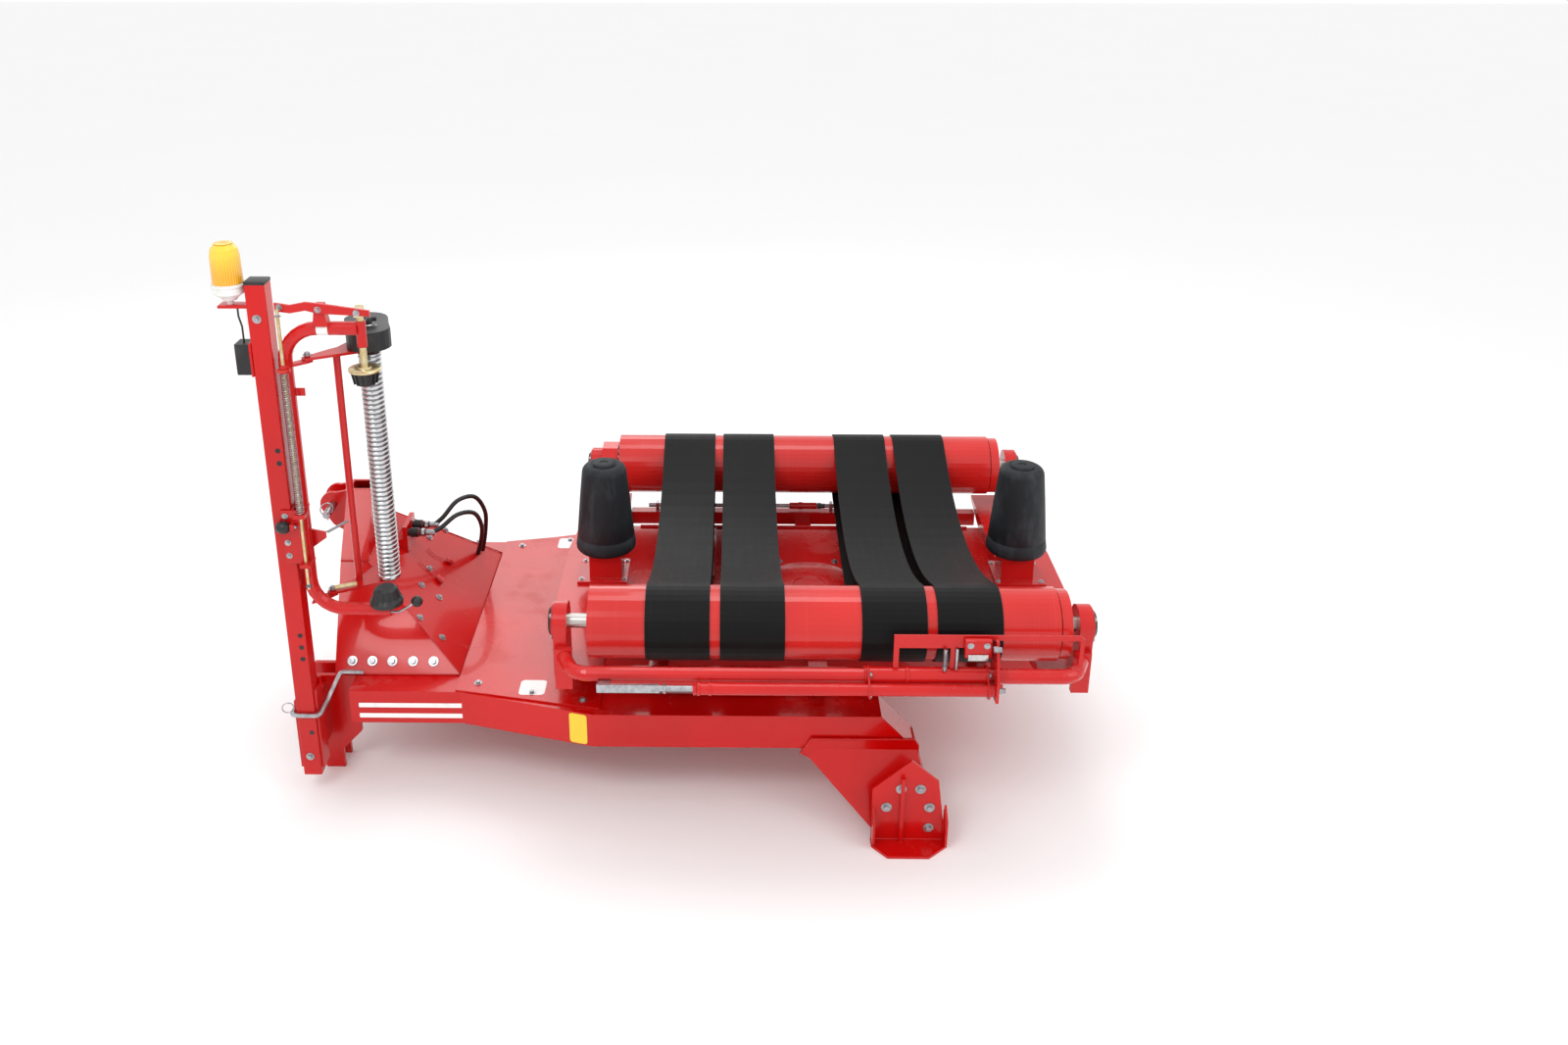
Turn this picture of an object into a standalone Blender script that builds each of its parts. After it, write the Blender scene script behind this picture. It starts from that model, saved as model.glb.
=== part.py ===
"""Turntable bale wrapper for a tractor's three-point linkage.

Metres, +Z up.  X runs along the machine from the hitch (-X) to the support feet (+X), and
-Y is the side of the film dispenser.  Everything is laid out from the turntable's axis on
the ground; the last step moves the whole machine so that the middle of its footprint is
the origin.
"""

import math

import bmesh
import bpy
from mathutils import Matrix, Vector

# ---- general -------------------------------------------------------------------------
GAP = 0.0003                    # between pieces that rest on each other
RUNNING = 0.0005                # radial clearance of a shaft or a slide

# ---- bale and roller table -------------------------------------------------------------
BALE_WIDTH = 1.20               # bale between the two side cones
DRUM_LENGTH = 1.40
DRUM_RADIUS = 0.110
DRUM_SPACING = 1.17             # between the two drum axes
DRUM_HEIGHT = 0.655              # drum axes above the ground
SHAFT_RADIUS = 0.022
SHAFT_END = 0.812               # half length over the shaft ends
HOUSING_RADIUS = 0.060
HOUSING_WIDTH = 0.040
HOUSING_OFFSET = 0.067          # from the drum's end to the housing
BELT_WIDTH = 0.192
BELT_THICKNESS = 0.005
BELT_CENTRES = (-0.432, -0.2095, 0.2095, 0.432)
BELT_UPPER_ANGLE = math.radians(24)    # slope at which the slack upper run leaves the drum
BELT_LOWER_ANGLE = math.radians(6)
TABLE_BOTTOM = 0.400            # underside of the rotating table
TABLE_DEPTH = 0.050             # height of its base and rails
TABLE_WALL = 0.008
TABLE_HALF_LENGTH = 0.700
TABLE_HALF_WIDTH = 0.460
RAIL_OFFSET = 0.560             # side rails, from the middle
RAIL_WIDTH = 0.040
RAIL_BOTTOM = 0.420
RAIL_TOP = 0.470
RAIL_START = -0.660
RAIL_END_FRONT = 0.565
RAIL_END_REAR = 0.664
END_FRAME_INNER = 0.665         # end frames, |X|
END_FRAME_OUTER = 0.860
END_FRAME_HALF_WIDTH = 0.645
END_FRAME_CORNER = 0.805        # |X| of its corners, from which its edge tapers outwards
END_FRAME_MIDDLE = 0.170        # half width of its outermost edge
END_FRAME_LIFT = 0.035          # rise of its underside towards the corners
COLLAR_RADIUS = 0.104           # collar at the drums' right end
COLLAR_WIDTH = 0.035
GEAR_CASE_LEFT = -0.7657        # case of the drum's drive, inboard of the rear left bearing
GEAR_CASE_RIGHT = -0.706
GEAR_CASE_HALF_WIDTH = 0.075
GEAR_CASE_BOTTOM = 0.575
GEAR_CASE_TOP = 0.737
END_FRAME_DEPTH = 0.050
PIPE_RADIUS = 0.008

# ---- side cones --------------------------------------------------------------------------
CONE_BASE_RADIUS = 0.1025
CONE_TOP_RADIUS = 0.074
CONE_HEIGHT = 0.315
CONE_LIFT = 0.600               # underside of a cone above the ground
CONE_PIN_RADIUS = 0.020
CONE_BRACKET_HALF_WIDTH = 0.085

# ---- film cutter on the table's edge -------------------------------------------------------
GUIDE_RADIUS = 0.022
GUIDE_OFFSET = 0.750            # guide tube from the middle
GUIDE_HEIGHT = 0.575
GUIDE_HALF_LENGTH = 0.735
GUIDE_FOOT = 0.776              # its splayed ends on the end frames, |X|
GUIDE_BEND = 0.060
BARREL_RADIUS = 0.018
BARREL_START = -0.371
BARREL_END = 0.491
BARREL_DROP = 0.018             # barrel's axis below the guide tube's
BARREL_OUT = 0.047              # barrel's axis outside the guide tube's
ROD_RADIUS = 0.009
ROD_START = -0.500
ROD_DEPTH = 0.260               # rod inside the barrel when it is closed
SLEEVE_WALL = 0.0045
SLEEVE_START = 0.117
SLEEVE_END = 0.484
CUTTER_STROKE = 0.150

# ---- chassis -----------------------------------------------------------------------------
BEAM_TOP = 0.350
BEAM_DEPTH = 0.115
BEAM_WIDTH = 0.120
BEAM_FRONT_FACE = 0.512         # outer face at the hitch, from the middle
BEAM_REAR_FACE = 0.630          # outer face beside the turntable
BEAM_START = -1.483
BEAM_JOG_START = -1.130
BEAM_JOG_END = -0.700
BEAM_END = 0.305
BEAM_END_SLOPE = 0.110          # how far the top of the beam's end is cut back
CROSS_WIDTH = 0.100
RING_RADIUS = 0.220
RING_HEIGHT = 0.034
RING_BOLT_PLATE = 0.020
DECK_THICKNESS = 0.006
DECK_END = -0.680
LEG_TOP = 0.273                 # top of the leg's flange on the beam's face
LEG_LEFT = -0.057
LEG_REACH = 0.760               # face of the leg at the foot, from the middle
LEG_FLANGE = 0.008
FOOT_WEB = 0.008
FOOT_HEIGHT = 0.262
FOOT_DEPTH = 0.087              # sole in front of the web
FOOT_LEFT = 0.155
FOOT_RIGHT = 0.385
FOOT_FLANGE_HEIGHT = 0.130

# ---- headstock ---------------------------------------------------------------------------
COVER_LEFT = -1.553
COVER_RIGHT = -1.143
COVER_HALF_WIDTH = 0.416
COVER_SHEET = 0.006
TOWER_LEFT = -1.572
TOWER_RIGHT = -1.481
TOWER_HALF_WIDTH = 0.185
TOWER_FOOT = 0.639
TOWER_TOP = 0.832
TOWER_TOP_HALF_WIDTH = 0.043
TOWER_TOP_RIGHT = -1.487
TOWER_POCKET = 0.120            # depth of the pocket in its top
TOWER_WALL = 0.008
TOP_PIN_X = -1.624
TOP_PIN_Z = 0.775
TOP_PIN_RADIUS = 0.0127
CLEVIS_GAP = 0.056
CLEVIS_PLATE = 0.012
CLEVIS_NOSE = 0.045
LOWER_LINK_OFFSET = 0.3775      # middle of a lower-link clevis, from the middle
LOWER_LINK_GAP = 0.060
LOWER_LINK_PLATE = 0.015
LOWER_PIN_X = -1.585
LOWER_PIN_Z = 0.200
LOWER_PIN_RADIUS = 0.014
CHEEK_LEFT = -1.640

# ---- mast --------------------------------------------------------------------------------
MAST_SIZE = 0.058
MAST_X = -1.608
MAST_Y = -0.536
MAST_BOTTOM = 0.072
MAST_TOP = 1.705
SOCKET_PLATE = 0.008
SOCKET_BOTTOM = 0.095
SOCKET_TOP = 0.400
LOCK_ROD_RADIUS = 0.007
LOCK_ROD_Z = 0.300
BEACON_X = -1.690
BEACON_BASE = 1.652
BEACON_RADIUS = 0.044

# ---- film dispenser ------------------------------------------------------------------------
FILM_WIDTH = 0.750
FRAME_TUBE_RADIUS = 0.020
FRAME_X = -1.553                # upright of the C-shaped frame
FRAME_BEND = 0.100
SPINDLE_X = -1.327              # axis of the film roll
FRAME_ABOVE_ROLL = 0.126        # axis of its upper run above the film roll
FRAME_BELOW_ROLL = 0.030
FILM_BOTTOM = 0.692             # underside of the film roll's core
LOWER_CONE_RADIUS = 0.050
LOWER_CONE_HEIGHT = 0.055
UPPER_CONE_RADIUS = 0.046
BRACKET_BOTTOM = 0.835
BRACKET_TOP = 1.010
BRACKET_PLATE = 0.006
SPRING_Y = -0.590
SPRING_X = -1.542
SPRING_RADIUS = 0.012
SPRING_SEAT = 1.455
RELEASE_ROD_RADIUS = 0.005
LEVER_PIVOT_X = -1.4345
LEVER_PIVOT_Z = 1.633
LEVER_PLATE = 0.008
LEVER_PLANE = -0.566            # mid-plane of the lever
SLEEVE_TUBE_RADIUS = 0.0145
SPINDLE_RADIUS = 0.010

# ---- pretension unit -------------------------------------------------------------------------
SWING_X = -1.505                # its hinge on the C frame
SWING_Y = -0.490
SWING_ARM_UPPER = 1.465
SWING_ARM_LOWER = 0.680
SWING_PLATE = 0.008
UPRIGHT_X = -1.440
UPRIGHT_Y = -0.425
UPRIGHT_RADIUS = 0.011
ROLLER_RADIUS = 0.034
ROLLER_X = -1.348
ROLLER_FRONT_Y = -0.405
ROLLER_SPACING = 0.105
ROLLER_STAGGER = 0.028          # rear roller nearer to the hitch than the front one
GEAR_COVER_RADIUS = 0.066
ROLLER_AXLE_RADIUS = 0.010
GEAR_COVER_HEIGHT = 0.060

# ---- hoses -------------------------------------------------------------------------------------
HOSE_RADIUS = 0.008
HOLDER_X = -1.400
HOLDER_Y = 0.070
HOLDER_HALF_WIDTH = 0.060
PLUG_SPACING = 0.060

DRUM_Y = DRUM_SPACING / 2
CONE_X = BALE_WIDTH / 2 + CONE_BASE_RADIUS + 0.0025
RED = ("red_paint", (0.60, 0.012, 0.010), 0.30, 0.0)
BRIGHT_RED = ("bright_red_paint", (0.72, 0.022, 0.016), 0.28, 0.0)
BLACK_BELT = ("belt_rubber", (0.012, 0.012, 0.013), 0.55, 0.0)
BLACK_RUBBER = ("cone_rubber", (0.022, 0.023, 0.025), 0.62, 0.0)
BLACK_PLASTIC = ("black_plastic", (0.015, 0.015, 0.016), 0.35, 0.0)
ZINC = ("zinc", (0.62, 0.63, 0.64), 0.32, 1.0)
YELLOW_ZINC = ("yellow_zinc", (0.66, 0.52, 0.24), 0.35, 1.0)
ALUMINIUM = ("aluminium", (0.78, 0.79, 0.80), 0.30, 1.0)
AMBER = ("amber_lens", (0.95, 0.50, 0.02), 0.12, 0.0)
WHITE = ("white_plastic", (0.82, 0.82, 0.80), 0.40, 0.0)


# ---- scene and small helpers ---------------------------------------------------------------
for old in list(bpy.data.objects):
    bpy.data.objects.remove(old, do_unlink=True)

PARTS = bpy.data.collections.new("bale_wrapper")
TOOLS = bpy.data.collections.new("cutters")
bpy.context.scene.collection.children.link(PARTS)
bpy.context.scene.collection.children.link(TOOLS)
BODIES = {}


def material(look):
    name, colour, roughness, metallic = look
    found = bpy.data.materials.get(name)
    if found:
        return found
    made = bpy.data.materials.new(name)
    made.use_nodes = True
    shader = made.node_tree.nodes["Principled BSDF"]
    shader.inputs["Base Color"].default_value = (*colour, 1.0)
    shader.inputs["Roughness"].default_value = roughness
    shader.inputs["Metallic"].default_value = metallic
    made.diffuse_color = (*colour, 1.0)
    return made


def body(name, pivot=(0, 0, 0), parent=None):
    """An empty on the joint's axis, which carries every piece of one moving body."""
    empty = bpy.data.objects.new(f"{name}_body", None)
    PARTS.objects.link(empty)
    base = Vector((0, 0, 0))
    if parent:
        empty.parent = BODIES[parent][0]
        base = BODIES[parent][1]
    empty.location = Vector(pivot) - base
    BODIES[name] = (empty, Vector(pivot))


def move_to(collection, item):
    for owner in list(item.users_collection):
        owner.objects.unlink(item)
    collection.objects.link(item)


def attach(item, owner):
    empty, pivot = BODIES[owner]
    item.parent = empty
    item.location = item.location - pivot


def finish(item, name, owner, look):
    """Name a shape, give it its material and hang it on its body."""
    item.name = name
    if item.data.name != name:
        item.data.name = name
    item.data.materials.clear()
    item.data.materials.append(material(look))
    move_to(PARTS, item)
    attach(item, owner)
    return item


def smooth(item, angle=35):
    item.data.shade_smooth()
    item.data.set_sharp_from_angle(angle=math.radians(angle))
    return item


def box(low, high):
    """A box between two opposite corners."""
    size = [b - a for a, b in zip(low, high)]
    centre = [(a + b) / 2 for a, b in zip(low, high)]
    bpy.ops.mesh.primitive_cube_add(size=1, location=centre)
    item = bpy.context.object
    item.data.transform(Matrix.Diagonal((*size, 1.0)))
    return item


def bevelled(item, width, segments=2):
    bevel = item.modifiers.new("edges", "BEVEL")
    bevel.width = width
    bevel.segments = segments
    bevel.limit_method = "ANGLE"
    return item


TURN = {"X": (0, math.radians(90), 0), "Y": (math.radians(-90), 0, 0), "Z": (0, 0, 0)}


def rod(radius, start, end, axis="Z", sides=24):
    """A cylinder along X, Y or Z from start to the coordinate end."""
    index = "XYZ".index(axis)
    middle = list(start)
    middle[index] = (start[index] + end) / 2
    bpy.ops.mesh.primitive_cylinder_add(
        vertices=sides, radius=radius, depth=abs(end - start[index]),
        location=middle, rotation=TURN[axis])
    return smooth(bpy.context.object)


def turned(profile, place, axis="Z", steps=32):
    """A turned shape: (radius, height) points down the outer side, then back up a bore."""
    mesh = bpy.data.meshes.new("profile")
    points = [(radius, 0, height) for radius, height in profile]
    closed = profile[0][0] > 0 and profile[-1][0] > 0
    edges = [(i, i + 1) for i in range(len(points) - 1)]
    if closed:
        edges.append((len(points) - 1, 0))
    mesh.from_pydata(points, edges, [])
    item = bpy.data.objects.new("turned", mesh)
    item.location = place
    item.rotation_euler = TURN[axis]
    TOOLS.objects.link(item)
    screw = item.modifiers.new("turn", "SCREW")
    screw.angle = math.tau
    screw.steps = steps
    screw.render_steps = steps
    screw.use_merge_vertices = True
    screw.merge_threshold = 0.00001
    screw.use_normal_calculate = False
    return item


FLAT = {"X": (math.radians(90), 0, math.radians(90)), "Y": (math.radians(90), 0, 0),
        "Z": (0, 0, 0)}


def plate(outlines, normal, low, high):
    """A flat plate from its outlines, between the coordinates low and high on its normal.

    An outline's points are (x, z) for normal Y, (y, z) for normal X and (x, y) for Z.
    The first outline is the edge and any others are holes.
    """
    curve = bpy.data.curves.new("outline", "CURVE")
    curve.dimensions = "2D"
    curve.fill_mode = "BOTH"
    curve.extrude = (high - low) / 2
    for outline in outlines:
        spline = curve.splines.new("POLY")
        spline.points.add(len(outline) - 1)
        for point, (a, b) in zip(spline.points, outline):
            point.co = (a, b, 0, 1)
        spline.use_cyclic_u = True
    item = bpy.data.objects.new("plate", curve)
    item.rotation_euler = FLAT[normal]
    item.location["XYZ".index(normal)] = (low + high) / 2
    TOOLS.objects.link(item)
    return item


def arc(centre, radius, start, end, steps=8):
    """Points along an arc, angles in degrees."""
    turn = [math.radians(start + (end - start) * i / steps) for i in range(steps + 1)]
    return [(centre[0] + radius * math.cos(t), centre[1] + radius * math.sin(t)) for t in turn]


def circle(centre, radius, steps=24):
    return arc(centre, radius, 0, 360, steps)[:-1]


def bent(points, radius, steps=6):
    """The same path with each inner corner rounded to a bend radius."""
    path = [Vector(points[0])]
    for before, corner, after in zip(points, points[1:], points[2:]):
        corner = Vector(corner)
        back = (Vector(before) - corner).normalized()
        onward = (Vector(after) - corner).normalized()
        half = back.angle(onward) / 2
        middle = corner + (back + onward).normalized() * radius / math.sin(half)
        first = corner + back * radius / math.tan(half) - middle
        last = corner + onward * radius / math.tan(half) - middle
        sweep = first.angle(last)
        for i in range(steps + 1):
            share = i / steps
            a = math.sin((1 - share) * sweep) / math.sin(sweep)
            b = math.sin(share * sweep) / math.sin(sweep)
            path.append(middle + first * a + last * b)
    path.append(Vector(points[-1]))
    return path


def tube(path, radius, resolution=3):
    """A round tube or rod along a path, with filled ends."""
    curve = bpy.data.curves.new("path", "CURVE")
    curve.dimensions = "3D"
    curve.bevel_depth = radius
    curve.bevel_resolution = resolution
    curve.use_fill_caps = True
    spline = curve.splines.new("POLY")
    spline.points.add(len(path) - 1)
    for point, place in zip(spline.points, path):
        point.co = (*place, 1)
    item = bpy.data.objects.new("tube", curve)
    TOOLS.objects.link(item)
    return item


def as_mesh(item):
    """A curve made into a welded mesh, so that it can be cut or joined."""
    if item.type != "CURVE":
        return item
    bpy.context.view_layer.update()
    seen = item.evaluated_get(bpy.context.evaluated_depsgraph_get())
    mesh = bpy.data.meshes.new_from_object(seen)
    work = bmesh.new()
    work.from_mesh(mesh)
    bmesh.ops.remove_doubles(work, verts=work.verts, dist=0.00001)
    bmesh.ops.recalc_face_normals(work, faces=work.faces)
    work.to_mesh(mesh)
    work.free()
    made = bpy.data.objects.new(item.name, mesh)
    TOOLS.objects.link(made)
    made.matrix_world = item.matrix_world
    bpy.data.objects.remove(item, do_unlink=True)
    return made


def joined(name, owner, look, pieces, cuts=(), added=()):
    """One node made of several shapes, less its holes, plus shapes that cross the holes."""
    base = as_mesh(pieces[0])
    steps = [(piece, "UNION") for piece in pieces[1:]] + [(cut, "DIFFERENCE") for cut in cuts]
    steps += [(piece, "UNION") for piece in added]
    for number, (tool, operation) in enumerate(steps):
        tool = as_mesh(tool)
        tool.name = f"{name}_tool_{number}"
        tool.hide_render = True
        tool.display_type = "WIRE"
        move_to(TOOLS, tool)
        attach(tool, owner)
        change = base.modifiers.new(f"{operation.lower()}_{number}", "BOOLEAN")
        change.operation = operation
        change.object = tool
        change.solver = "EXACT"
    return finish(base, name, owner, look)


def loft(low, high, low_z, high_z):
    """A four-sided block between two rectangles (x0, y0, x1, y1) at two heights."""
    item = box((-0.5, -0.5, 0), (0.5, 0.5, 1))
    item.location = (0, 0, 0)
    for vertex in item.data.vertices:
        x0, y0, x1, y1 = high if vertex.co.z > 0 else low
        z = high_z if vertex.co.z > 0 else low_z
        vertex.co = (x1 if vertex.co.x > 0 else x0, y1 if vertex.co.y > 0 else y0, z)
    return item


def mirrored(points, side):
    """Flip the second coordinate for the far side of the machine."""
    return [(a, b * side) for a, b in points]


def mirrored_first(points, side):
    """Flip the first coordinate for the far side of the machine."""
    return [(a * side, b) for a, b in points]


def span(side, near, far):
    """Low and high Y of something between two offsets from the middle, on one side."""
    return sorted((side * near, side * far))


# ---- chassis ---------------------------------------------------------------------------
body("chassis")
BEAM_BOTTOM = BEAM_TOP - BEAM_DEPTH
BEAM_INNER = BEAM_REAR_FACE - BEAM_WIDTH
SIDES = (("front", -1), ("rear", 1))


def beam(name, side):
    """A box beam that steps outwards beside the turntable, with its end cut on a slope and a
    leg welded on that leans outwards from under it and has a flange on the beam's face."""
    outer = [(BEAM_START, BEAM_FRONT_FACE), (BEAM_JOG_START, BEAM_FRONT_FACE),
             (BEAM_JOG_END, BEAM_REAR_FACE), (BEAM_END, BEAM_REAR_FACE)]
    inner = [(x, y - BEAM_WIDTH) for x, y in reversed(outer)]
    shape = plate([mirrored(outer + inner, side)], "Z", BEAM_BOTTOM, BEAM_TOP)
    run = BEAM_END_SLOPE / 2
    shift = 0.004               # leaves the beam's lower edge whole
    over = [(BEAM_END - 3 * run - shift, BEAM_TOP + BEAM_DEPTH / 2),
            (BEAM_END + run - shift, BEAM_BOTTOM - BEAM_DEPTH / 2),
            (BEAM_END + 2 * run, BEAM_TOP + BEAM_DEPTH / 2)]
    wedge = plate([over], "Y", *span(side, BEAM_INNER - 0.05, BEAM_REAR_FACE + 0.05))
    return joined(name, "chassis", RED, [shape], [wedge], leg(side))


def cross_beam(left, inner):
    return box((left, -inner + GAP, BEAM_BOTTOM),
               (left + CROSS_WIDTH, inner - GAP, BEAM_TOP - 0.002))


def leg(side):
    """The leg's block and its flange."""
    right = BEAM_END + 0.004
    flange = [(LEG_LEFT + 0.029, LEG_TOP), (LEG_LEFT, 0.22), (LEG_LEFT + 0.037, 0.2), (right, 0.2),
              (right, LEG_TOP - 0.02), (right - 0.013, LEG_TOP)]
    front = BEAM_REAR_FACE + LEG_FLANGE
    y0, y1 = span(side, BEAM_REAR_FACE - 0.004, front)
    top = span(side, BEAM_INNER + 0.010, front - 0.0005)
    low = span(side, LEG_REACH - 0.095, LEG_REACH)
    block = loft((FOOT_LEFT, low[0], FOOT_RIGHT - 0.02, low[1]),
                 (LEG_LEFT + 0.002, top[0], BEAM_END - 0.002, top[1]), 0.045, BEAM_BOTTOM + 0.004)
    return [block, plate([flange], "Y", y0, y1)]


def foot(name, side):
    """The bolted foot: a channel open to the outside on a sole with cut corners."""
    web = LEG_REACH + GAP
    lap = 0.001                 # steps between the welded plates, so that no faces coincide
    middle = (FOOT_LEFT + FOOT_RIGHT) / 2
    left, right = FOOT_LEFT + lap, FOOT_RIGHT - lap
    back = [(left, lap), (right, lap), (right - 0.03, FOOT_FLANGE_HEIGHT + 0.09),
            (middle, FOOT_HEIGHT + 0.03), (left, FOOT_FLANGE_HEIGHT + 0.06)]
    sole = [(FOOT_LEFT, web + lap), (FOOT_RIGHT, web + lap), (FOOT_RIGHT, web + 0.035),
            (FOOT_RIGHT - 0.06, web + FOOT_DEPTH), (FOOT_LEFT + 0.045, web + FOOT_DEPTH),
            (FOOT_LEFT, web + 0.035)]
    flange = [(web + 2 * lap, 3 * lap), (web + 0.033, 3 * lap), (web + 0.048, 0.02),
              (web + 0.048, 0.10), (web + 2 * lap, FOOT_FLANGE_HEIGHT)]
    if side < 0:
        flange = [(-y, z) for y, z in reversed(flange)]
    rib = span(side, web + 3 * lap, web + 0.022)
    pieces = [plate([back], "Y", *span(side, web, web + FOOT_WEB)),
              plate([mirrored(sole, side)], "Z", 0, FOOT_WEB),
              plate([flange], "X", left + lap, left + FOOT_WEB),
              plate([flange], "X", right - FOOT_WEB, right - lap),
              box((middle - 0.03, rib[0], 2 * lap), (middle - 0.018, rib[1], 0.235))]
    return joined(name, "chassis", RED, pieces)


def lower_link_bracket(name, side):
    """Two cheeks for a lower link, joined by a web on the beam's end; the cheeks reach the
    ground and stand the parked machine."""
    right = BEAM_START - GAP
    cheek = [(CHEEK_LEFT + 0.03, 0), (CHEEK_LEFT + 0.09, 0), (CHEEK_LEFT + 0.09, 0.07),
             (right, 0.14), (right, BEAM_TOP), (CHEEK_LEFT, BEAM_TOP), (CHEEK_LEFT, 0.10)]
    inner = LOWER_LINK_OFFSET - LOWER_LINK_GAP / 2
    outer = LOWER_LINK_OFFSET + LOWER_LINK_GAP / 2
    low, high = span(side, inner - LOWER_LINK_PLATE - 0.012, outer + LOWER_LINK_PLATE - 0.001)
    pieces = [plate([cheek], "Y", *span(side, inner - LOWER_LINK_PLATE, inner)),
              plate([cheek], "Y", *span(side, outer, outer + LOWER_LINK_PLATE)),
              rod(LOWER_PIN_RADIUS, (LOWER_PIN_X, low, LOWER_PIN_Z), high, "Y", 24),
              box((right - 0.014, span(side, inner - 0.002, outer + 0.002)[0], 0.16),
                  (right, span(side, inner - 0.002, outer + 0.002)[1], BEAM_TOP - 0.001))]
    joined(name, "chassis", RED, pieces)


for place, side in SIDES:
    beam(f"beam_{place}", side)
    foot(f"foot_{place}", side)
    lower_link_bracket(f"lower_link_bracket_{place}", side)

CARRIER_END = BEAM_END - BEAM_END_SLOPE
finish(cross_beam(BEAM_START + 0.02, BEAM_FRONT_FACE - BEAM_WIDTH),
       "cross_beam_hitch", "chassis", RED)
ring_plate = box((-RING_RADIUS - CROSS_WIDTH - 0.02, -BEAM_INNER + GAP, BEAM_TOP - RING_BOLT_PLATE),
                 (CARRIER_END, BEAM_INNER - GAP, BEAM_TOP))
joined("ring_carrier", "chassis", RED,
       [ring_plate, cross_beam(-RING_RADIUS - CROSS_WIDTH, BEAM_INNER),
        cross_beam(CARRIER_END - CROSS_WIDTH - 0.001, BEAM_INNER)])
ring = turned([(RING_RADIUS, BEAM_TOP + RING_HEIGHT), (RING_RADIUS, BEAM_TOP + GAP),
               (0.14, BEAM_TOP + GAP), (0.14, BEAM_TOP + RING_HEIGHT)], (0, 0, 0), steps=32)
finish(ring, "slew_ring", "chassis", BLACK_PLASTIC)


def deck_outline():
    edge = 0.005
    front = [(COVER_RIGHT - 0.002, BEAM_FRONT_FACE - edge),
             (DECK_END, BEAM_REAR_FACE - 5 * edge)]
    return [(x, -y) for x, y in front] + [(x, y) for x, y in reversed(front)]


finish(plate([deck_outline()], "Z", BEAM_TOP + GAP, BEAM_TOP + DECK_THICKNESS),
       "deck_cover", "chassis", BRIGHT_RED)


# ---- headstock -----------------------------------------------------------------------------
def headstock():
    """Sloping sheet cover, the tower on it, and the top-link clevis with its pin."""
    cover = loft((COVER_LEFT, -COVER_HALF_WIDTH, COVER_RIGHT - 0.004, COVER_HALF_WIDTH),
                 (TOWER_LEFT, -TOWER_HALF_WIDTH, TOWER_RIGHT, TOWER_HALF_WIDTH),
                 BEAM_TOP + GAP, TOWER_FOOT - GAP)
    sheet = COVER_SHEET
    inside = loft((COVER_LEFT + sheet, -COVER_HALF_WIDTH + 2 * sheet,
                   COVER_RIGHT - 3 * sheet, COVER_HALF_WIDTH - 2 * sheet),
                  (TOWER_LEFT + sheet, -TOWER_HALF_WIDTH + sheet,
                   TOWER_RIGHT - sheet, TOWER_HALF_WIDTH - sheet),
                  BEAM_TOP - 0.001, TOWER_FOOT - sheet)
    joined("headstock_cover", "chassis", RED, [cover], [inside])
    shell = loft((TOWER_LEFT, -TOWER_HALF_WIDTH, TOWER_RIGHT, TOWER_HALF_WIDTH),
                 (TOWER_LEFT, -TOWER_TOP_HALF_WIDTH, TOWER_TOP_RIGHT, TOWER_TOP_HALF_WIDTH),
                 TOWER_FOOT, TOWER_TOP)
    wall = TOWER_WALL
    taper = (TOWER_HALF_WIDTH - TOWER_TOP_HALF_WIDTH) / (TOWER_TOP - TOWER_FOOT)
    over = 0.020                # the cutter stands proud of the top
    low_half = TOWER_TOP_HALF_WIDTH + taper * TOWER_POCKET - 1.5 * wall
    high_half = TOWER_TOP_HALF_WIDTH - taper * over - 1.5 * wall
    pocket = loft((TOWER_LEFT + wall, -low_half, TOWER_TOP_RIGHT - wall, low_half),
                  (TOWER_LEFT + wall, -high_half, TOWER_TOP_RIGHT - wall, high_half),
                  TOWER_TOP - TOWER_POCKET, TOWER_TOP + over)
    joined("headstock_tower", "chassis", RED, [shell], [pocket])
    right = TOWER_LEFT - GAP
    nose = (arc((TOP_PIN_X, TOP_PIN_Z), CLEVIS_NOSE, 75, 225, 10)
            + [(TOP_PIN_X - 0.005, TOP_PIN_Z - 0.075), (right, TOP_PIN_Z - 0.11),
               (right, TOP_PIN_Z + 0.052)])
    half = CLEVIS_GAP / 2 + CLEVIS_PLATE
    block = plate([nose], "Y", -half, half)
    slot = box((TOP_PIN_X - 0.1, -CLEVIS_GAP / 2, TOP_PIN_Z - 0.12),
               (right - 0.010, CLEVIS_GAP / 2, TOP_PIN_Z + 0.1))
    pin = rod(TOP_PIN_RADIUS, (TOP_PIN_X, -half - 0.085, TOP_PIN_Z), half + 0.012, "Y", 24)
    joined("top_link_clevis", "chassis", RED, [block], [slot], [pin])


headstock()

# ---- mast, socket, lamp and beacon -------------------------------------------------------------
MAST_LEFT = MAST_X - MAST_SIZE / 2
MAST_RIGHT = MAST_X + MAST_SIZE / 2
MAST_FRONT = MAST_Y - MAST_SIZE / 2
MAST_BACK = MAST_Y + MAST_SIZE / 2


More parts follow.
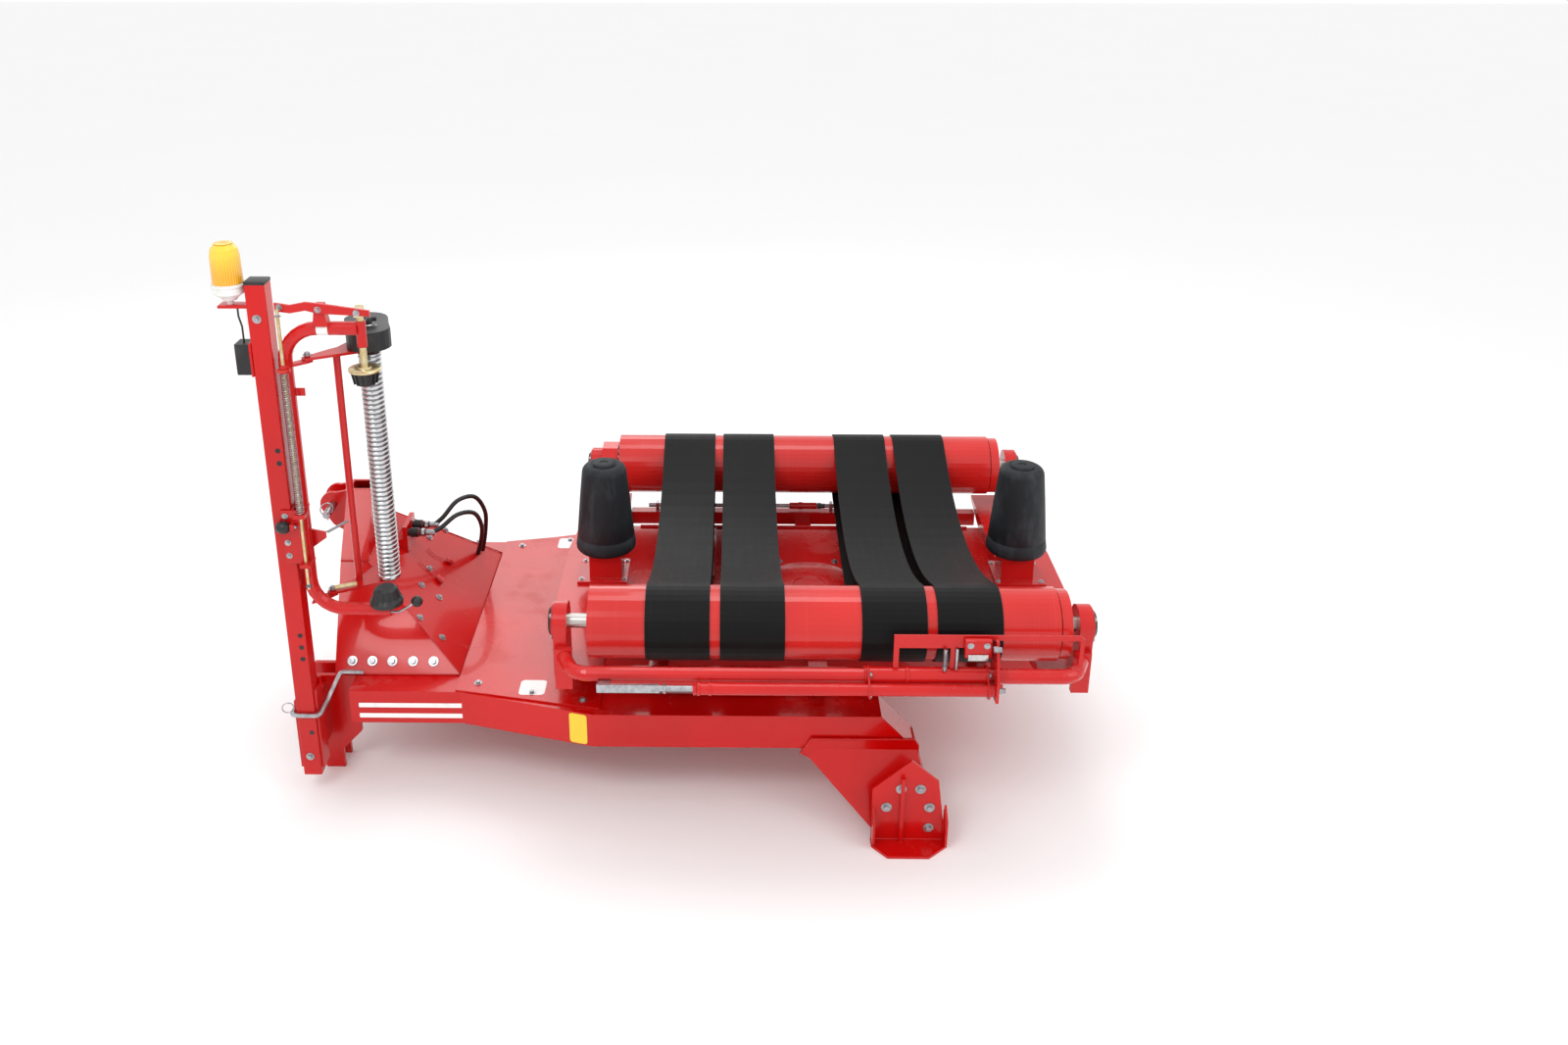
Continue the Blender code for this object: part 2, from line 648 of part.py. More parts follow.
def mast():
    post = box((MAST_LEFT, MAST_FRONT, MAST_BOTTOM), (MAST_RIGHT, MAST_BACK, MAST_TOP))
    finish(bevelled(post, 0.004), "mast", "chassis", RED)
    # The socket: a channel behind and beside the post's foot, on a block from the cheek.
    back = MAST_BACK + GAP
    cheek = -(LOWER_LINK_OFFSET + LOWER_LINK_GAP / 2 + LOWER_LINK_PLATE + GAP)
    pieces = [box((MAST_LEFT - GAP - SOCKET_PLATE, back, SOCKET_BOTTOM),
                  (MAST_RIGHT + GAP + SOCKET_PLATE, back + SOCKET_PLATE, SOCKET_TOP)),
              box((MAST_LEFT - GAP - SOCKET_PLATE, MAST_FRONT + 0.01, SOCKET_BOTTOM + 0.002),
                  (MAST_LEFT - GAP, back + 0.004, SOCKET_TOP - 0.06)),
              box((MAST_RIGHT + GAP, MAST_FRONT + 0.01, SOCKET_BOTTOM + 0.002),
                  (MAST_RIGHT + GAP + SOCKET_PLATE, back + 0.004, SOCKET_TOP - 0.02)),
              box((MAST_LEFT + 0.004, back + 0.004, 0.13), (MAST_RIGHT - 0.004, cheek, 0.33))]
    joined("mast_socket", "chassis", RED, pieces)


def lock_rod():
    """Bent bar that holds the post in its socket and runs back to the headstock cover."""
    r = LOCK_ROD_RADIUS
    left = MAST_LEFT - SOCKET_PLATE - 2 * GAP - r
    right = MAST_RIGHT + SOCKET_PLATE + 2 * GAP + r
    front = MAST_FRONT - GAP - r
    path = bent([(left, MAST_Y + 0.02, LOCK_ROD_Z), (left, front, LOCK_ROD_Z),
                 (right, front, LOCK_ROD_Z), (right + 0.012, MAST_Y + 0.02, LOCK_ROD_Z + 0.02),
                 (right + 0.04, -COVER_HALF_WIDTH - 0.03, BEAM_TOP + 0.03),
                 (right + 0.11, -COVER_HALF_WIDTH - 0.022, BEAM_TOP + 0.022)], 0.016, 4)
    finish(tube(path, r, 2), "mast_lock_rod", "chassis", ZINC)


def lamps():
    """Beacon on its bracket at the top of the mast, and the marker lamp below it."""
    bracket_y = (MAST_Y - 0.022, MAST_Y + 0.022)
    arm = BEACON_BASE - 0.020
    pieces = [box((BEACON_X - 0.03, bracket_y[0], arm), (MAST_LEFT - GAP, bracket_y[1], arm + 0.006)),
              box((MAST_LEFT - GAP - 0.006, bracket_y[0], arm - 0.05),
                  (MAST_LEFT - GAP, bracket_y[1], arm + 0.005)),
              rod(0.010, (BEACON_X, MAST_Y, arm + 0.004), BEACON_BASE + 0.002, "Z", 16)]
    radius = BEACON_RADIUS
    base = turned([(0, 0.050), (radius * 0.95, 0.050), (radius * 1.05, 0.036), (radius * 1.05, 0.022),
                   (radius * 0.6, 0.008), (radius * 0.45, 0), (0, 0)], (BEACON_X, MAST_Y, BEACON_BASE + GAP))
    joined("beacon_base", "chassis", WHITE, pieces + [base])
    dome = turned([(0, 0.113), (radius * 0.62, 0.111), (radius * 0.85, 0.099), (radius * 0.94, 0.078),
                   (radius * 0.97, 0), (0, 0)], (BEACON_X, MAST_Y, BEACON_BASE + 0.050 + 2 * GAP))
    finish(dome, "beacon_lens", "chassis", AMBER)
    lamp_top = 1.530
    plate_low = (MAST_LEFT - GAP - 0.006, MAST_Y - 0.03, lamp_top - 0.10)
    lamp = box((plate_low[0] - 0.042, MAST_Y - 0.026, lamp_top - 0.096),
               (plate_low[0] + 0.002, MAST_Y + 0.026, lamp_top - 0.004))
    joined("marker_lamp", "chassis", BLACK_PLASTIC,
           [box(plate_low, (MAST_LEFT - GAP, MAST_Y + 0.03, lamp_top)), lamp])
    start = (BEACON_X + 0.018, MAST_Y, arm - GAP)
    lamp_x = plate_low[0] - 0.022
    path = bent([start, (start[0], MAST_Y, arm - 0.03), (lamp_x, MAST_Y, arm - 0.06),
                 (lamp_x, MAST_Y, lamp_top - 0.004 + GAP)], 0.012, 3)
    finish(tube(path, 0.003, 2), "beacon_cable", "chassis", BLACK_PLASTIC)


mast()
lock_rod()
lamps()


# ---- hoses ---------------------------------------------------------------------------------------
def smooth_route(points, per_leg=5):
    """Points along a smooth curve through a route's own points."""
    route = [Vector(p) for p in points]
    ends = [route[0] * 2 - route[1]] + route + [route[-1] * 2 - route[-2]]
    path = []
    for a, b, c, d in zip(ends, ends[1:], ends[2:], ends[3:]):
        for i in range(per_leg):
            t = i / per_leg
            path.append(0.5 * (2 * b + (c - a) * t + (2 * a - 5 * b + 4 * c - d) * t * t
                               + (3 * b - a - 3 * c + d) * t ** 3))
    path.append(route[-1])
    return path


def cover_height(x):
    """Height of the sloping right-hand face of the headstock cover at x."""
    share = (COVER_RIGHT - 0.004 - x) / (COVER_RIGHT - 0.004 - TOWER_RIGHT)
    return BEAM_TOP + share * (TOWER_FOOT - BEAM_TOP)


def hoses():
    """Two hoses that come up out of the cover, loop over it and are parked in their holder."""
    base = cover_height(HOLDER_X)
    low, high = HOLDER_X - 0.035, HOLDER_X + 0.004
    shape = [(low, cover_height(low) + 2 * GAP), (high, cover_height(high) + 2 * GAP),
             (high, base + 0.095), (HOLDER_X - 0.012, base + 0.095), (HOLDER_X - 0.012, base + 0.050),
             (low, cover_height(low) + 0.012)]
    holder = plate([shape], "Y", HOLDER_Y - HOLDER_HALF_WIDTH, HOLDER_Y + HOLDER_HALF_WIDTH)
    plugs = []
    z = base + 0.062
    start = HOLDER_X - 0.012 + 0.075 + GAP
    routes = {"supply": [(-1.285, 0.050, 0.645), (-1.235, 0.090, 0.675), (-1.190, 0.155, 0.650),
                         (-1.178, 0.215, 0.570), (-1.195, 0.265, 0.480), (-1.215, 0.290)],
              "return": [(-1.290, 0.112, 0.655), (-1.245, 0.150, 0.700), (-1.195, 0.205, 0.690),
                         (-1.172, 0.262, 0.605), (-1.185, 0.310, 0.500), (-1.205, 0.335)]}
    for (name, route), shift in zip(routes.items(), (-PLUG_SPACING / 2, PLUG_SPACING / 2)):
        y = HOLDER_Y + shift
        plug = turned([(0, 0.0), (0.0115, 0.0), (0.0115, -0.022), (0.0155, -0.023), (0.0155, -0.052),
                       (0.0105, -0.053), (0.0105, -0.075), (0, -0.075)],
                      (HOLDER_X - 0.012, y, z), "X", 16)
        plug.rotation_euler = (0, math.radians(-90), 0)
        plugs.append(plug)
        end_x, end_y = route[-1]
        points = [(start + 0.003, y, z), (start + 0.015, y, z), *route[:-1],
                  (end_x, end_y, cover_height(end_x) + 0.008)]
        path = [Vector((start, y, z))] + smooth_route(points)
        finish(tube(path, HOSE_RADIUS, 2), f"hose_{name}", "chassis", BLACK_PLASTIC)
    joined("coupling_holder", "chassis", RED, [holder] + plugs)


# ---- turntable ---------------------------------------------------------------------------------
TABLE_TOP = TABLE_BOTTOM + TABLE_DEPTH
END_TOP = TABLE_TOP + END_FRAME_DEPTH
HOUSING_START = DRUM_LENGTH / 2 + HOUSING_OFFSET


def end_frame(name, side):
    """Folded end frame with the two bearing pedestals and their housings."""
    x0, x1 = span(side, END_FRAME_INNER, END_FRAME_OUTER)
    h0, h1 = span(side, HOUSING_START, HOUSING_START + HOUSING_WIDTH)
    half = END_FRAME_HALF_WIDTH
    floor = TABLE_TOP + GAP
    outer = [(END_FRAME_INNER, -half), (END_FRAME_CORNER, -half), (END_FRAME_OUTER, -END_FRAME_MIDDLE),
             (END_FRAME_OUTER, END_FRAME_MIDDLE), (END_FRAME_CORNER, half), (END_FRAME_INNER, half)]
    pieces = [plate([[(side * x, y) for x, y in outer]], "Z", floor, END_TOP)]
    bores = []
    for far in (-1, 1):
        rise = [(TABLE_HALF_WIDTH, floor), (TABLE_HALF_WIDTH, floor - 0.02),
                (half + 0.02, floor - 0.02), (half + 0.02, floor + END_FRAME_LIFT * 1.1)]
        bores.append(plate([mirrored_first(rise, far)], "X", x0 - 0.01, x1 + 0.01))
    for y in (-DRUM_Y, DRUM_Y):
        pieces.append(box((h0, y - HOUSING_RADIUS, END_TOP - 0.002),
                          (h1, y + HOUSING_RADIUS, DRUM_HEIGHT)))
        pieces.append(rod(HOUSING_RADIUS, (h0 - 0.001, y, DRUM_HEIGHT), h1 + 0.001, "X", 32))
        bores.append(rod(SHAFT_RADIUS + GAP, (h0 - 0.02, y, DRUM_HEIGHT), h1 + 0.02, "X", 32))
    return joined(name, "table", BRIGHT_RED, pieces, bores)


def belt_path(radius, offset):
    """Closed outline of a belt round both drums, at an offset from its inner face."""
    upper, lower = BELT_UPPER_ANGLE, BELT_LOWER_ANGLE
    start = math.pi / 2 - upper
    end = math.pi * 1.5 + lower
    steps = 20
    reach = (radius + offset) / math.cos((end - start) / steps / 2)
    wrap = [start + (end - start) * i / steps for i in range(steps + 1)]
    left = [(-DRUM_Y + reach * math.cos(t), DRUM_HEIGHT + reach * math.sin(t)) for t in wrap]
    right = [(-y, z) for y, z in reversed(left)]
    # In the Y-Z plane: the left wrap runs from its upper to its lower tangent point.
    run = 16
    low_y, low_z = left[-1]
    sag = math.tan(lower) * abs(low_y) / 2
    bottom = [(low_y * (1 - 2 * i / run), low_z - sag * (1 - (1 - 2 * i / run) ** 2))
              for i in range(1, run)]
    high_y, high_z = left[0]
    dip = math.tan(upper) * abs(high_y) / 2
    top = [(-high_y * (1 - 2 * i / run), high_z - dip * (1 - (1 - 2 * i / run) ** 2))
           for i in range(1, run)]
    return left + bottom + right + top


def table():
    """Everything that turns with the bale."""
    base = box((-TABLE_HALF_LENGTH, -TABLE_HALF_WIDTH, TABLE_BOTTOM),
               (TABLE_HALF_LENGTH, TABLE_HALF_WIDTH, TABLE_TOP))
    frame = [base]
    for (place, side), rail_end in zip(SIDES, (RAIL_END_FRONT, RAIL_END_REAR)):
        y0, y1 = span(side, RAIL_OFFSET - RAIL_WIDTH / 2, RAIL_OFFSET + RAIL_WIDTH / 2)
        frame.append(box((RAIL_START, y0, RAIL_BOTTOM), (rail_end, y1, RAIL_TOP)))
    for x in (-0.5, 0.0, 0.5):
        reach = RAIL_OFFSET - RAIL_WIDTH / 2 + 0.002
        frame.append(box((x - 0.03, -reach, RAIL_BOTTOM + 0.002), (x + 0.03, reach, TABLE_TOP - 0.004)))
    wall = TABLE_WALL
    tray = box((-TABLE_HALF_LENGTH + wall, -TABLE_HALF_WIDTH + wall, TABLE_BOTTOM - 0.05),
               (TABLE_HALF_LENGTH - wall, TABLE_HALF_WIDTH - wall, TABLE_TOP - wall))
    hub = rod(RING_RADIUS - 0.01, (0, 0, BEAM_TOP + RING_HEIGHT + GAP), TABLE_TOP - wall / 2, "Z", 40)
    joined("table_base", "table", BRIGHT_RED, frame, [tray], [hub])
    for place, side in SIDES:
        end = DRUM_LENGTH / 2
        stub = SHAFT_END
        groove = 0.004
        drum = turned([(0, stub), (SHAFT_RADIUS, stub), (SHAFT_RADIUS, end + COLLAR_WIDTH + 0.001),
                       (COLLAR_RADIUS, end + COLLAR_WIDTH), (COLLAR_RADIUS, end + groove),
                       (DRUM_RADIUS - 4 * groove, end + groove), (DRUM_RADIUS - 4 * groove, end),
                       (DRUM_RADIUS, end), (DRUM_RADIUS, -end), (SHAFT_RADIUS, -end),
                       (SHAFT_RADIUS, -stub), (0, -stub)], (0, side * DRUM_Y, DRUM_HEIGHT), "X", 40)
        finish(drum, f"drum_{place}", "table", BRIGHT_RED)
    end_frame("end_frame_left", -1)
    end_frame("end_frame_right", 1)
    outline = [belt_path(DRUM_RADIUS + GAP, BELT_THICKNESS), belt_path(DRUM_RADIUS + GAP, 0)]
    for number, centre in enumerate(BELT_CENTRES, 1):
        belt = plate(outline, "X", centre - BELT_WIDTH / 2, centre + BELT_WIDTH / 2)
        finish(belt, f"belt_{number}", "table", BLACK_BELT)
    pipe_z = RAIL_TOP + 0.020
    pieces = [rod(PIPE_RADIUS, (-0.594, RAIL_OFFSET, pipe_z), 0.146, "X", 12)]
    pieces += [box((x - 0.006, RAIL_OFFSET - 0.012, RAIL_TOP + GAP),
                   (x + 0.006, RAIL_OFFSET + 0.012, pipe_z + 0.014)) for x in (-0.56, -0.12, 0.11)]
    joined("brake_rod", "table", ZINC, pieces)
    cut = 0.028                 # its cut corners
    half, low, high = GEAR_CASE_HALF_WIDTH, GEAR_CASE_BOTTOM, GEAR_CASE_TOP
    case = [(DRUM_Y - half + cut, low), (DRUM_Y + half - cut, low), (DRUM_Y + half, low + cut),
            (DRUM_Y + half, high - 2 * cut), (DRUM_Y + half - 2 * cut, high),
            (DRUM_Y - half + cut, high), (DRUM_Y - half, high - cut), (DRUM_Y - half, low + cut)]
    foot_half = half / 2
    motor = [plate([case], "X", GEAR_CASE_LEFT, GEAR_CASE_RIGHT),
             box((GEAR_CASE_LEFT + 0.006, DRUM_Y - foot_half, END_TOP + GAP),
                 (GEAR_CASE_RIGHT - 0.006, DRUM_Y + foot_half, low + 0.004))]
    shaft_room = rod(SHAFT_RADIUS + 2 * GAP, (GEAR_CASE_LEFT - 0.01, DRUM_Y, DRUM_HEIGHT),
                     GEAR_CASE_RIGHT + 0.01, "X", 32)
    joined("drive_motor", "table", BRIGHT_RED, motor, [shaft_room])


def cones():
    for place, side in (("left", -1), ("right", 1)):
        x = side * CONE_X
        foot_x = sorted((side * 0.630, side * 0.800))
        low = box((foot_x[0], -CONE_BRACKET_HALF_WIDTH, END_TOP + GAP),
                  (foot_x[1], CONE_BRACKET_HALF_WIDTH, END_TOP + 0.010))
        stand = box((x - 0.055, -0.055, END_TOP + 0.008), (x + 0.055, 0.055, CONE_LIFT - 0.004))
        pin = rod(CONE_PIN_RADIUS, (x, 0, CONE_LIFT - 0.006), CONE_LIFT + CONE_HEIGHT * 0.7, "Z", 24)
        joined(f"cone_bracket_{place}", "table", BRIGHT_RED, [low, stand, pin])
        r0, r1, h = CONE_BASE_RADIUS, CONE_TOP_RADIUS, CONE_HEIGHT
        taper = (r0 - r1) / h
        edge = arc((r1 - 0.024, h - 0.030), 0.026, 90, 8, 5)
        profile = ([(0, h + 0.004), (0.040, h + 0.004), (0.043, h - 0.002)] + edge
                   + [(r0 - taper * 0.05, 0.05), (r0, 0.022), (r0 - 0.005, 0.006), (r0 - 0.016, 0),
                      (CONE_PIN_RADIUS + RUNNING, 0), (CONE_PIN_RADIUS + RUNNING, h * 0.7 + 0.004),
                      (0, h * 0.7 + 0.004)])
        body(f"cone_{place}", (x, 0, CONE_LIFT), "table")
        finish(turned(profile, (x, 0, CONE_LIFT), steps=28), f"cone_{place}", f"cone_{place}", BLACK_RUBBER)


# ---- film cutter -----------------------------------------------------------------------------------
def cutter():
    """Guide tube and cylinder rod on the table; sleeve, barrel, guard and end plate slide."""
    end_y = -END_FRAME_HALF_WIDTH - GAP
    ends = GUIDE_HALF_LENGTH
    z = GUIDE_HEIGHT
    splay = GUIDE_FOOT - ends
    stop = end_y - 0.010
    path = bent([(-ends - splay, stop, z), (-ends, -GUIDE_OFFSET, z), (ends, -GUIDE_OFFSET, z),
                 (ends + splay, stop, z)], GUIDE_BEND, 6)
    feet = [box((x - 0.026, end_y - 0.020, END_TOP - 0.035), (x + 0.026, end_y, z + 0.026))
            for x in (-GUIDE_FOOT, GUIDE_FOOT)]
    joined("cutter_guide_tube", "table", BRIGHT_RED, [tube(path, GUIDE_RADIUS, 4)] + feet)
    rod_y = -GUIDE_OFFSET - BARREL_OUT
    rod_z = z - BARREL_DROP
    anchor_y = rod_y
    lug_x = -ends + GUIDE_BEND + 0.032
    link = [box((lug_x - 0.02, anchor_y - 0.005, rod_z - 0.013),
                (ROD_START + 0.02, anchor_y + 0.005, rod_z + 0.013)),
            rod(ROD_RADIUS, (ROD_START, rod_y, rod_z), BARREL_START + ROD_DEPTH, "X", 16),
            box((lug_x - 0.018, anchor_y - 0.004, rod_z - 0.012),
                (lug_x + 0.018, -GUIDE_OFFSET - GUIDE_RADIUS + 0.008, rod_z + 0.012))]
    groove = rod(GUIDE_RADIUS + GAP, (lug_x - 0.05, -GUIDE_OFFSET, z), lug_x + 0.05, "X", 32)
    joined("cutter_rod", "table", ZINC, link, [groove])
    body("cutter", (0, -GUIDE_OFFSET, z), "table")
    barrel = rod(BARREL_RADIUS, (BARREL_START, rod_y, rod_z), BARREL_END, "X", 24)
    bore = rod(ROD_RADIUS + RUNNING, (BARREL_START - 0.05, rod_y, rod_z),
               BARREL_START + ROD_DEPTH + 0.02, "X", 16)
    joined("cutter_barrel", "cutter", BRIGHT_RED, [barrel], [bore])
    outer = GUIDE_RADIUS + RUNNING + SLEEVE_WALL
    pieces = [rod(outer, (SLEEVE_START, -GUIDE_OFFSET, z), SLEEVE_END, "X", 32)]
    for x in (SLEEVE_START + 0.008, SLEEVE_END - 0.014):
        hull = (arc((-GUIDE_OFFSET, z), outer + 0.005, -20, 150, 8)
                + arc((rod_y, rod_z), BARREL_RADIUS + 0.007, 150, 330, 8))
        pieces.append(plate([hull], "X", x, x + 0.006))
    cuts = [rod(GUIDE_RADIUS + RUNNING, (SLEEVE_START - 0.05, -GUIDE_OFFSET, z), SLEEVE_END + 0.05, "X", 32),
            rod(BARREL_RADIUS + GAP, (SLEEVE_START - 0.05, rod_y, rod_z), SLEEVE_END + 0.05, "X", 24)]
    joined("cutter_sleeve", "cutter", BRIGHT_RED, pieces, cuts)
    low = z + outer - 0.0002
    rail_top = z + 0.137
    bar = 0.016
    tip = GUIDE_HALF_LENGTH + 0.016
    guard = [(0.200, low + 0.001), (0.200, rail_top), (tip - 0.012, rail_top), (tip, rail_top - 0.012),
             (tip, z + 0.030), (tip - 0.012, z + 0.030), (tip - 0.012, rail_top - bar),
             (0.450, rail_top - bar), (0.450, rail_top - 0.040), (0.385, rail_top - 0.040),
             (0.385, low + 0.001), (0.365, low + 0.001), (0.365, rail_top - 0.042),
             (0.216, rail_top - 0.042), (0.216, low + 0.001)]
    end_low = BARREL_END + GAP
    face = [(rod_y - 0.028, rod_z - 0.026), (rod_y + 0.030, rod_z - 0.034), (-GUIDE_OFFSET + 0.036, z - 0.01),
            (-GUIDE_OFFSET + 0.036, z + 0.060), (-GUIDE_OFFSET + 0.006, rail_top - 0.006),
            (-GUIDE_OFFSET - 0.030, rail_top - 0.006), (rod_y - 0.028, z + 0.02)]
    slot = circle((-GUIDE_OFFSET, z), GUIDE_RADIUS + 0.0012, 32)
    joined("cutter_guard", "cutter", BRIGHT_RED,
           [plate([guard], "Y", -GUIDE_OFFSET - 0.003, -GUIDE_OFFSET + 0.003),
            plate([face, slot], "X", end_low, end_low + 0.008)])


body("table", (0, 0, 0), "chassis")
hoses()
table()
cones()
cutter()


# ---- film dispenser ------------------------------------------------------------------------------------
FRAME_TOP = FILM_BOTTOM + FILM_WIDTH + FRAME_ABOVE_ROLL
FRAME_BOTTOM = FILM_BOTTOM - FRAME_BELOW_ROLL
CLAMP_LEFT = MAST_RIGHT + RUNNING


def dispenser():
    """The C frame on its bracket, which slides on the mast."""
    body("dispenser", (MAST_X, MAST_Y, BRACKET_BOTTOM), "chassis")
    y = MAST_Y
    path = bent([(SPINDLE_X - SLEEVE_TUBE_RADIUS + 0.006, y, FRAME_TOP), (FRAME_X, y, FRAME_TOP),
                 (FRAME_X, y, FRAME_BOTTOM), (SPINDLE_X + 0.012, y, FRAME_BOTTOM)], FRAME_BEND, 7)
    head = rod(SLEEVE_TUBE_RADIUS, (SPINDLE_X, y, FRAME_TOP - 0.055), FRAME_TOP + 0.022, "Z", 24)
    lug = plate([[(FRAME_X + 0.015, 0.935), (FRAME_X + 0.062, 0.925), (FRAME_X + 0.062, 0.905),
                  (FRAME_X + 0.015, 0.870)]], "Y", y - 0.003, y + 0.003)
    hinge_lugs = []
    for z in (SWING_ARM_UPPER - 0.016, SWING_ARM_LOWER + 0.004):
        hinge_lugs.append(plate([[(FRAME_X, y - 0.014), (SWING_X + 0.004, SWING_Y - 0.016),
                                  (SWING_X + 0.016, SWING_Y), (SWING_X, SWING_Y + 0.016),
                                  (FRAME_X, y + 0.016)]], "Z", z, z + 0.008))
        hinge_lugs.append(rod(0.008, (SWING_X, SWING_Y, z + 0.004), z + 0.022, "Z", 16))
    pivot_lug = plate([[(LEVER_PIVOT_X - 0.022, FRAME_TOP + 0.012),
                        (LEVER_PIVOT_X + 0.022, FRAME_TOP + 0.012),
                        (LEVER_PIVOT_X + 0.012, LEVER_PIVOT_Z + 0.012),
                        (LEVER_PIVOT_X - 0.012, LEVER_PIVOT_Z + 0.012)]], "Y",
                      LEVER_PLANE + LEVER_PLATE / 2 + GAP, LEVER_PLANE + LEVER_PLATE / 2 + 0.0305)
    pivot_pin = rod(0.006, (LEVER_PIVOT_X, LEVER_PLANE + 0.012, LEVER_PIVOT_Z), LEVER_PLANE - 0.010, "Y", 16)
    axle = rod(0.012, (SPINDLE_X, y, FRAME_BOTTOM), FILM_BOTTOM + LOWER_CONE_HEIGHT * 0.6, "Z", 20)
    bore = rod(SPINDLE_RADIUS + RUNNING, (SPINDLE_X, y, FRAME_TOP - 0.1), FRAME_TOP + 0.1, "Z", 20)
    joined("dispenser_frame", "dispenser", BRIGHT_RED,
           [tube(path, FRAME_TUBE_RADIUS, 3), head, lug, *hinge_lugs, pivot_lug, pivot_pin, axle], [bore])
    front = MAST_FRONT - RUNNING
    back = MAST_BACK + RUNNING
    side = BRACKET_PLATE
    tube_left = FRAME_X - FRAME_TUBE_RADIUS
    lug_low = (SPRING_X - 0.016, SPRING_Y - 0.014)
    lug_high = (SPRING_X + 0.016, front - 0.004)
    shape = [box((CLAMP_LEFT - 0.030, front - side, BRACKET_BOTTOM), (SPRING_X + 0.012, front, BRACKET_TOP)),
             box((CLAMP_LEFT - 0.045, back, BRACKET_BOTTOM), (tube_left + 0.004, back + side, BRACKET_TOP)),
             box((CLAMP_LEFT, front - 0.002, BRACKET_BOTTOM), (CLAMP_LEFT + side, back + 0.002, BRACKET_TOP)),
             box((*lug_low, BRACKET_TOP - 0.012), (*lug_high, BRACKET_TOP)),
             box((*lug_low, BRACKET_BOTTOM), (*lug_high, BRACKET_BOTTOM + 0.012))]
    clear = [rod(RELEASE_ROD_RADIUS + RUNNING, (SPRING_X, SPRING_Y, BRACKET_BOTTOM - 0.02),
                 BRACKET_TOP + 0.02, "Z", 16),
             rod(FRAME_TUBE_RADIUS + GAP, (FRAME_X, y, BRACKET_BOTTOM - 0.02), BRACKET_TOP + 0.02, "Z", 24)]
    pin_z = (BRACKET_BOTTOM + BRACKET_TOP) / 2 + 0.04
    pin_y = front - side - 0.010
    knob_x = MAST_X + 0.018
    knob = turned([(0, 0.030), (0.012, 0.028), (0.018, 0.016), (0.0185, 0.006), (0.012, -0.006), (0, -0.008)],
                  (knob_x, pin_y - 0.004, pin_z), "X", 20)
    knob.rotation_euler = (0, math.radians(-90), 0)
    pin = rod(0.005, (knob_x, pin_y, pin_z), SPRING_X - 0.020, "X", 12)
    foot = box((CLAMP_LEFT - 0.002, pin_y - 0.008, pin_z - 0.010),
               (CLAMP_LEFT + 0.012, front - 0.002, pin_z + 0.010))
    joined("mast_bracket", "dispenser", BRIGHT_RED, shape, clear, [foot, pin, knob])
    body("lower_cone", (SPINDLE_X, y, FRAME_BOTTOM + FRAME_TUBE_RADIUS), "dispenser")
    low = FRAME_BOTTOM + FRAME_TUBE_RADIUS + 0.002
    h = LOWER_CONE_HEIGHT
    cup = turned([(0, h), (0.026, h), (0.034, h - 0.006), (0.042, 0.022), (LOWER_CONE_RADIUS, 0.012),
                  (LOWER_CONE_RADIUS, 0), (0.012 + RUNNING, 0), (0.012 + RUNNING, h - 0.012), (0, h - 0.012)],
                 (SPINDLE_X, y, low), steps=24)
    finish(cup, "lower_cone", "lower_cone", BLACK_PLASTIC)


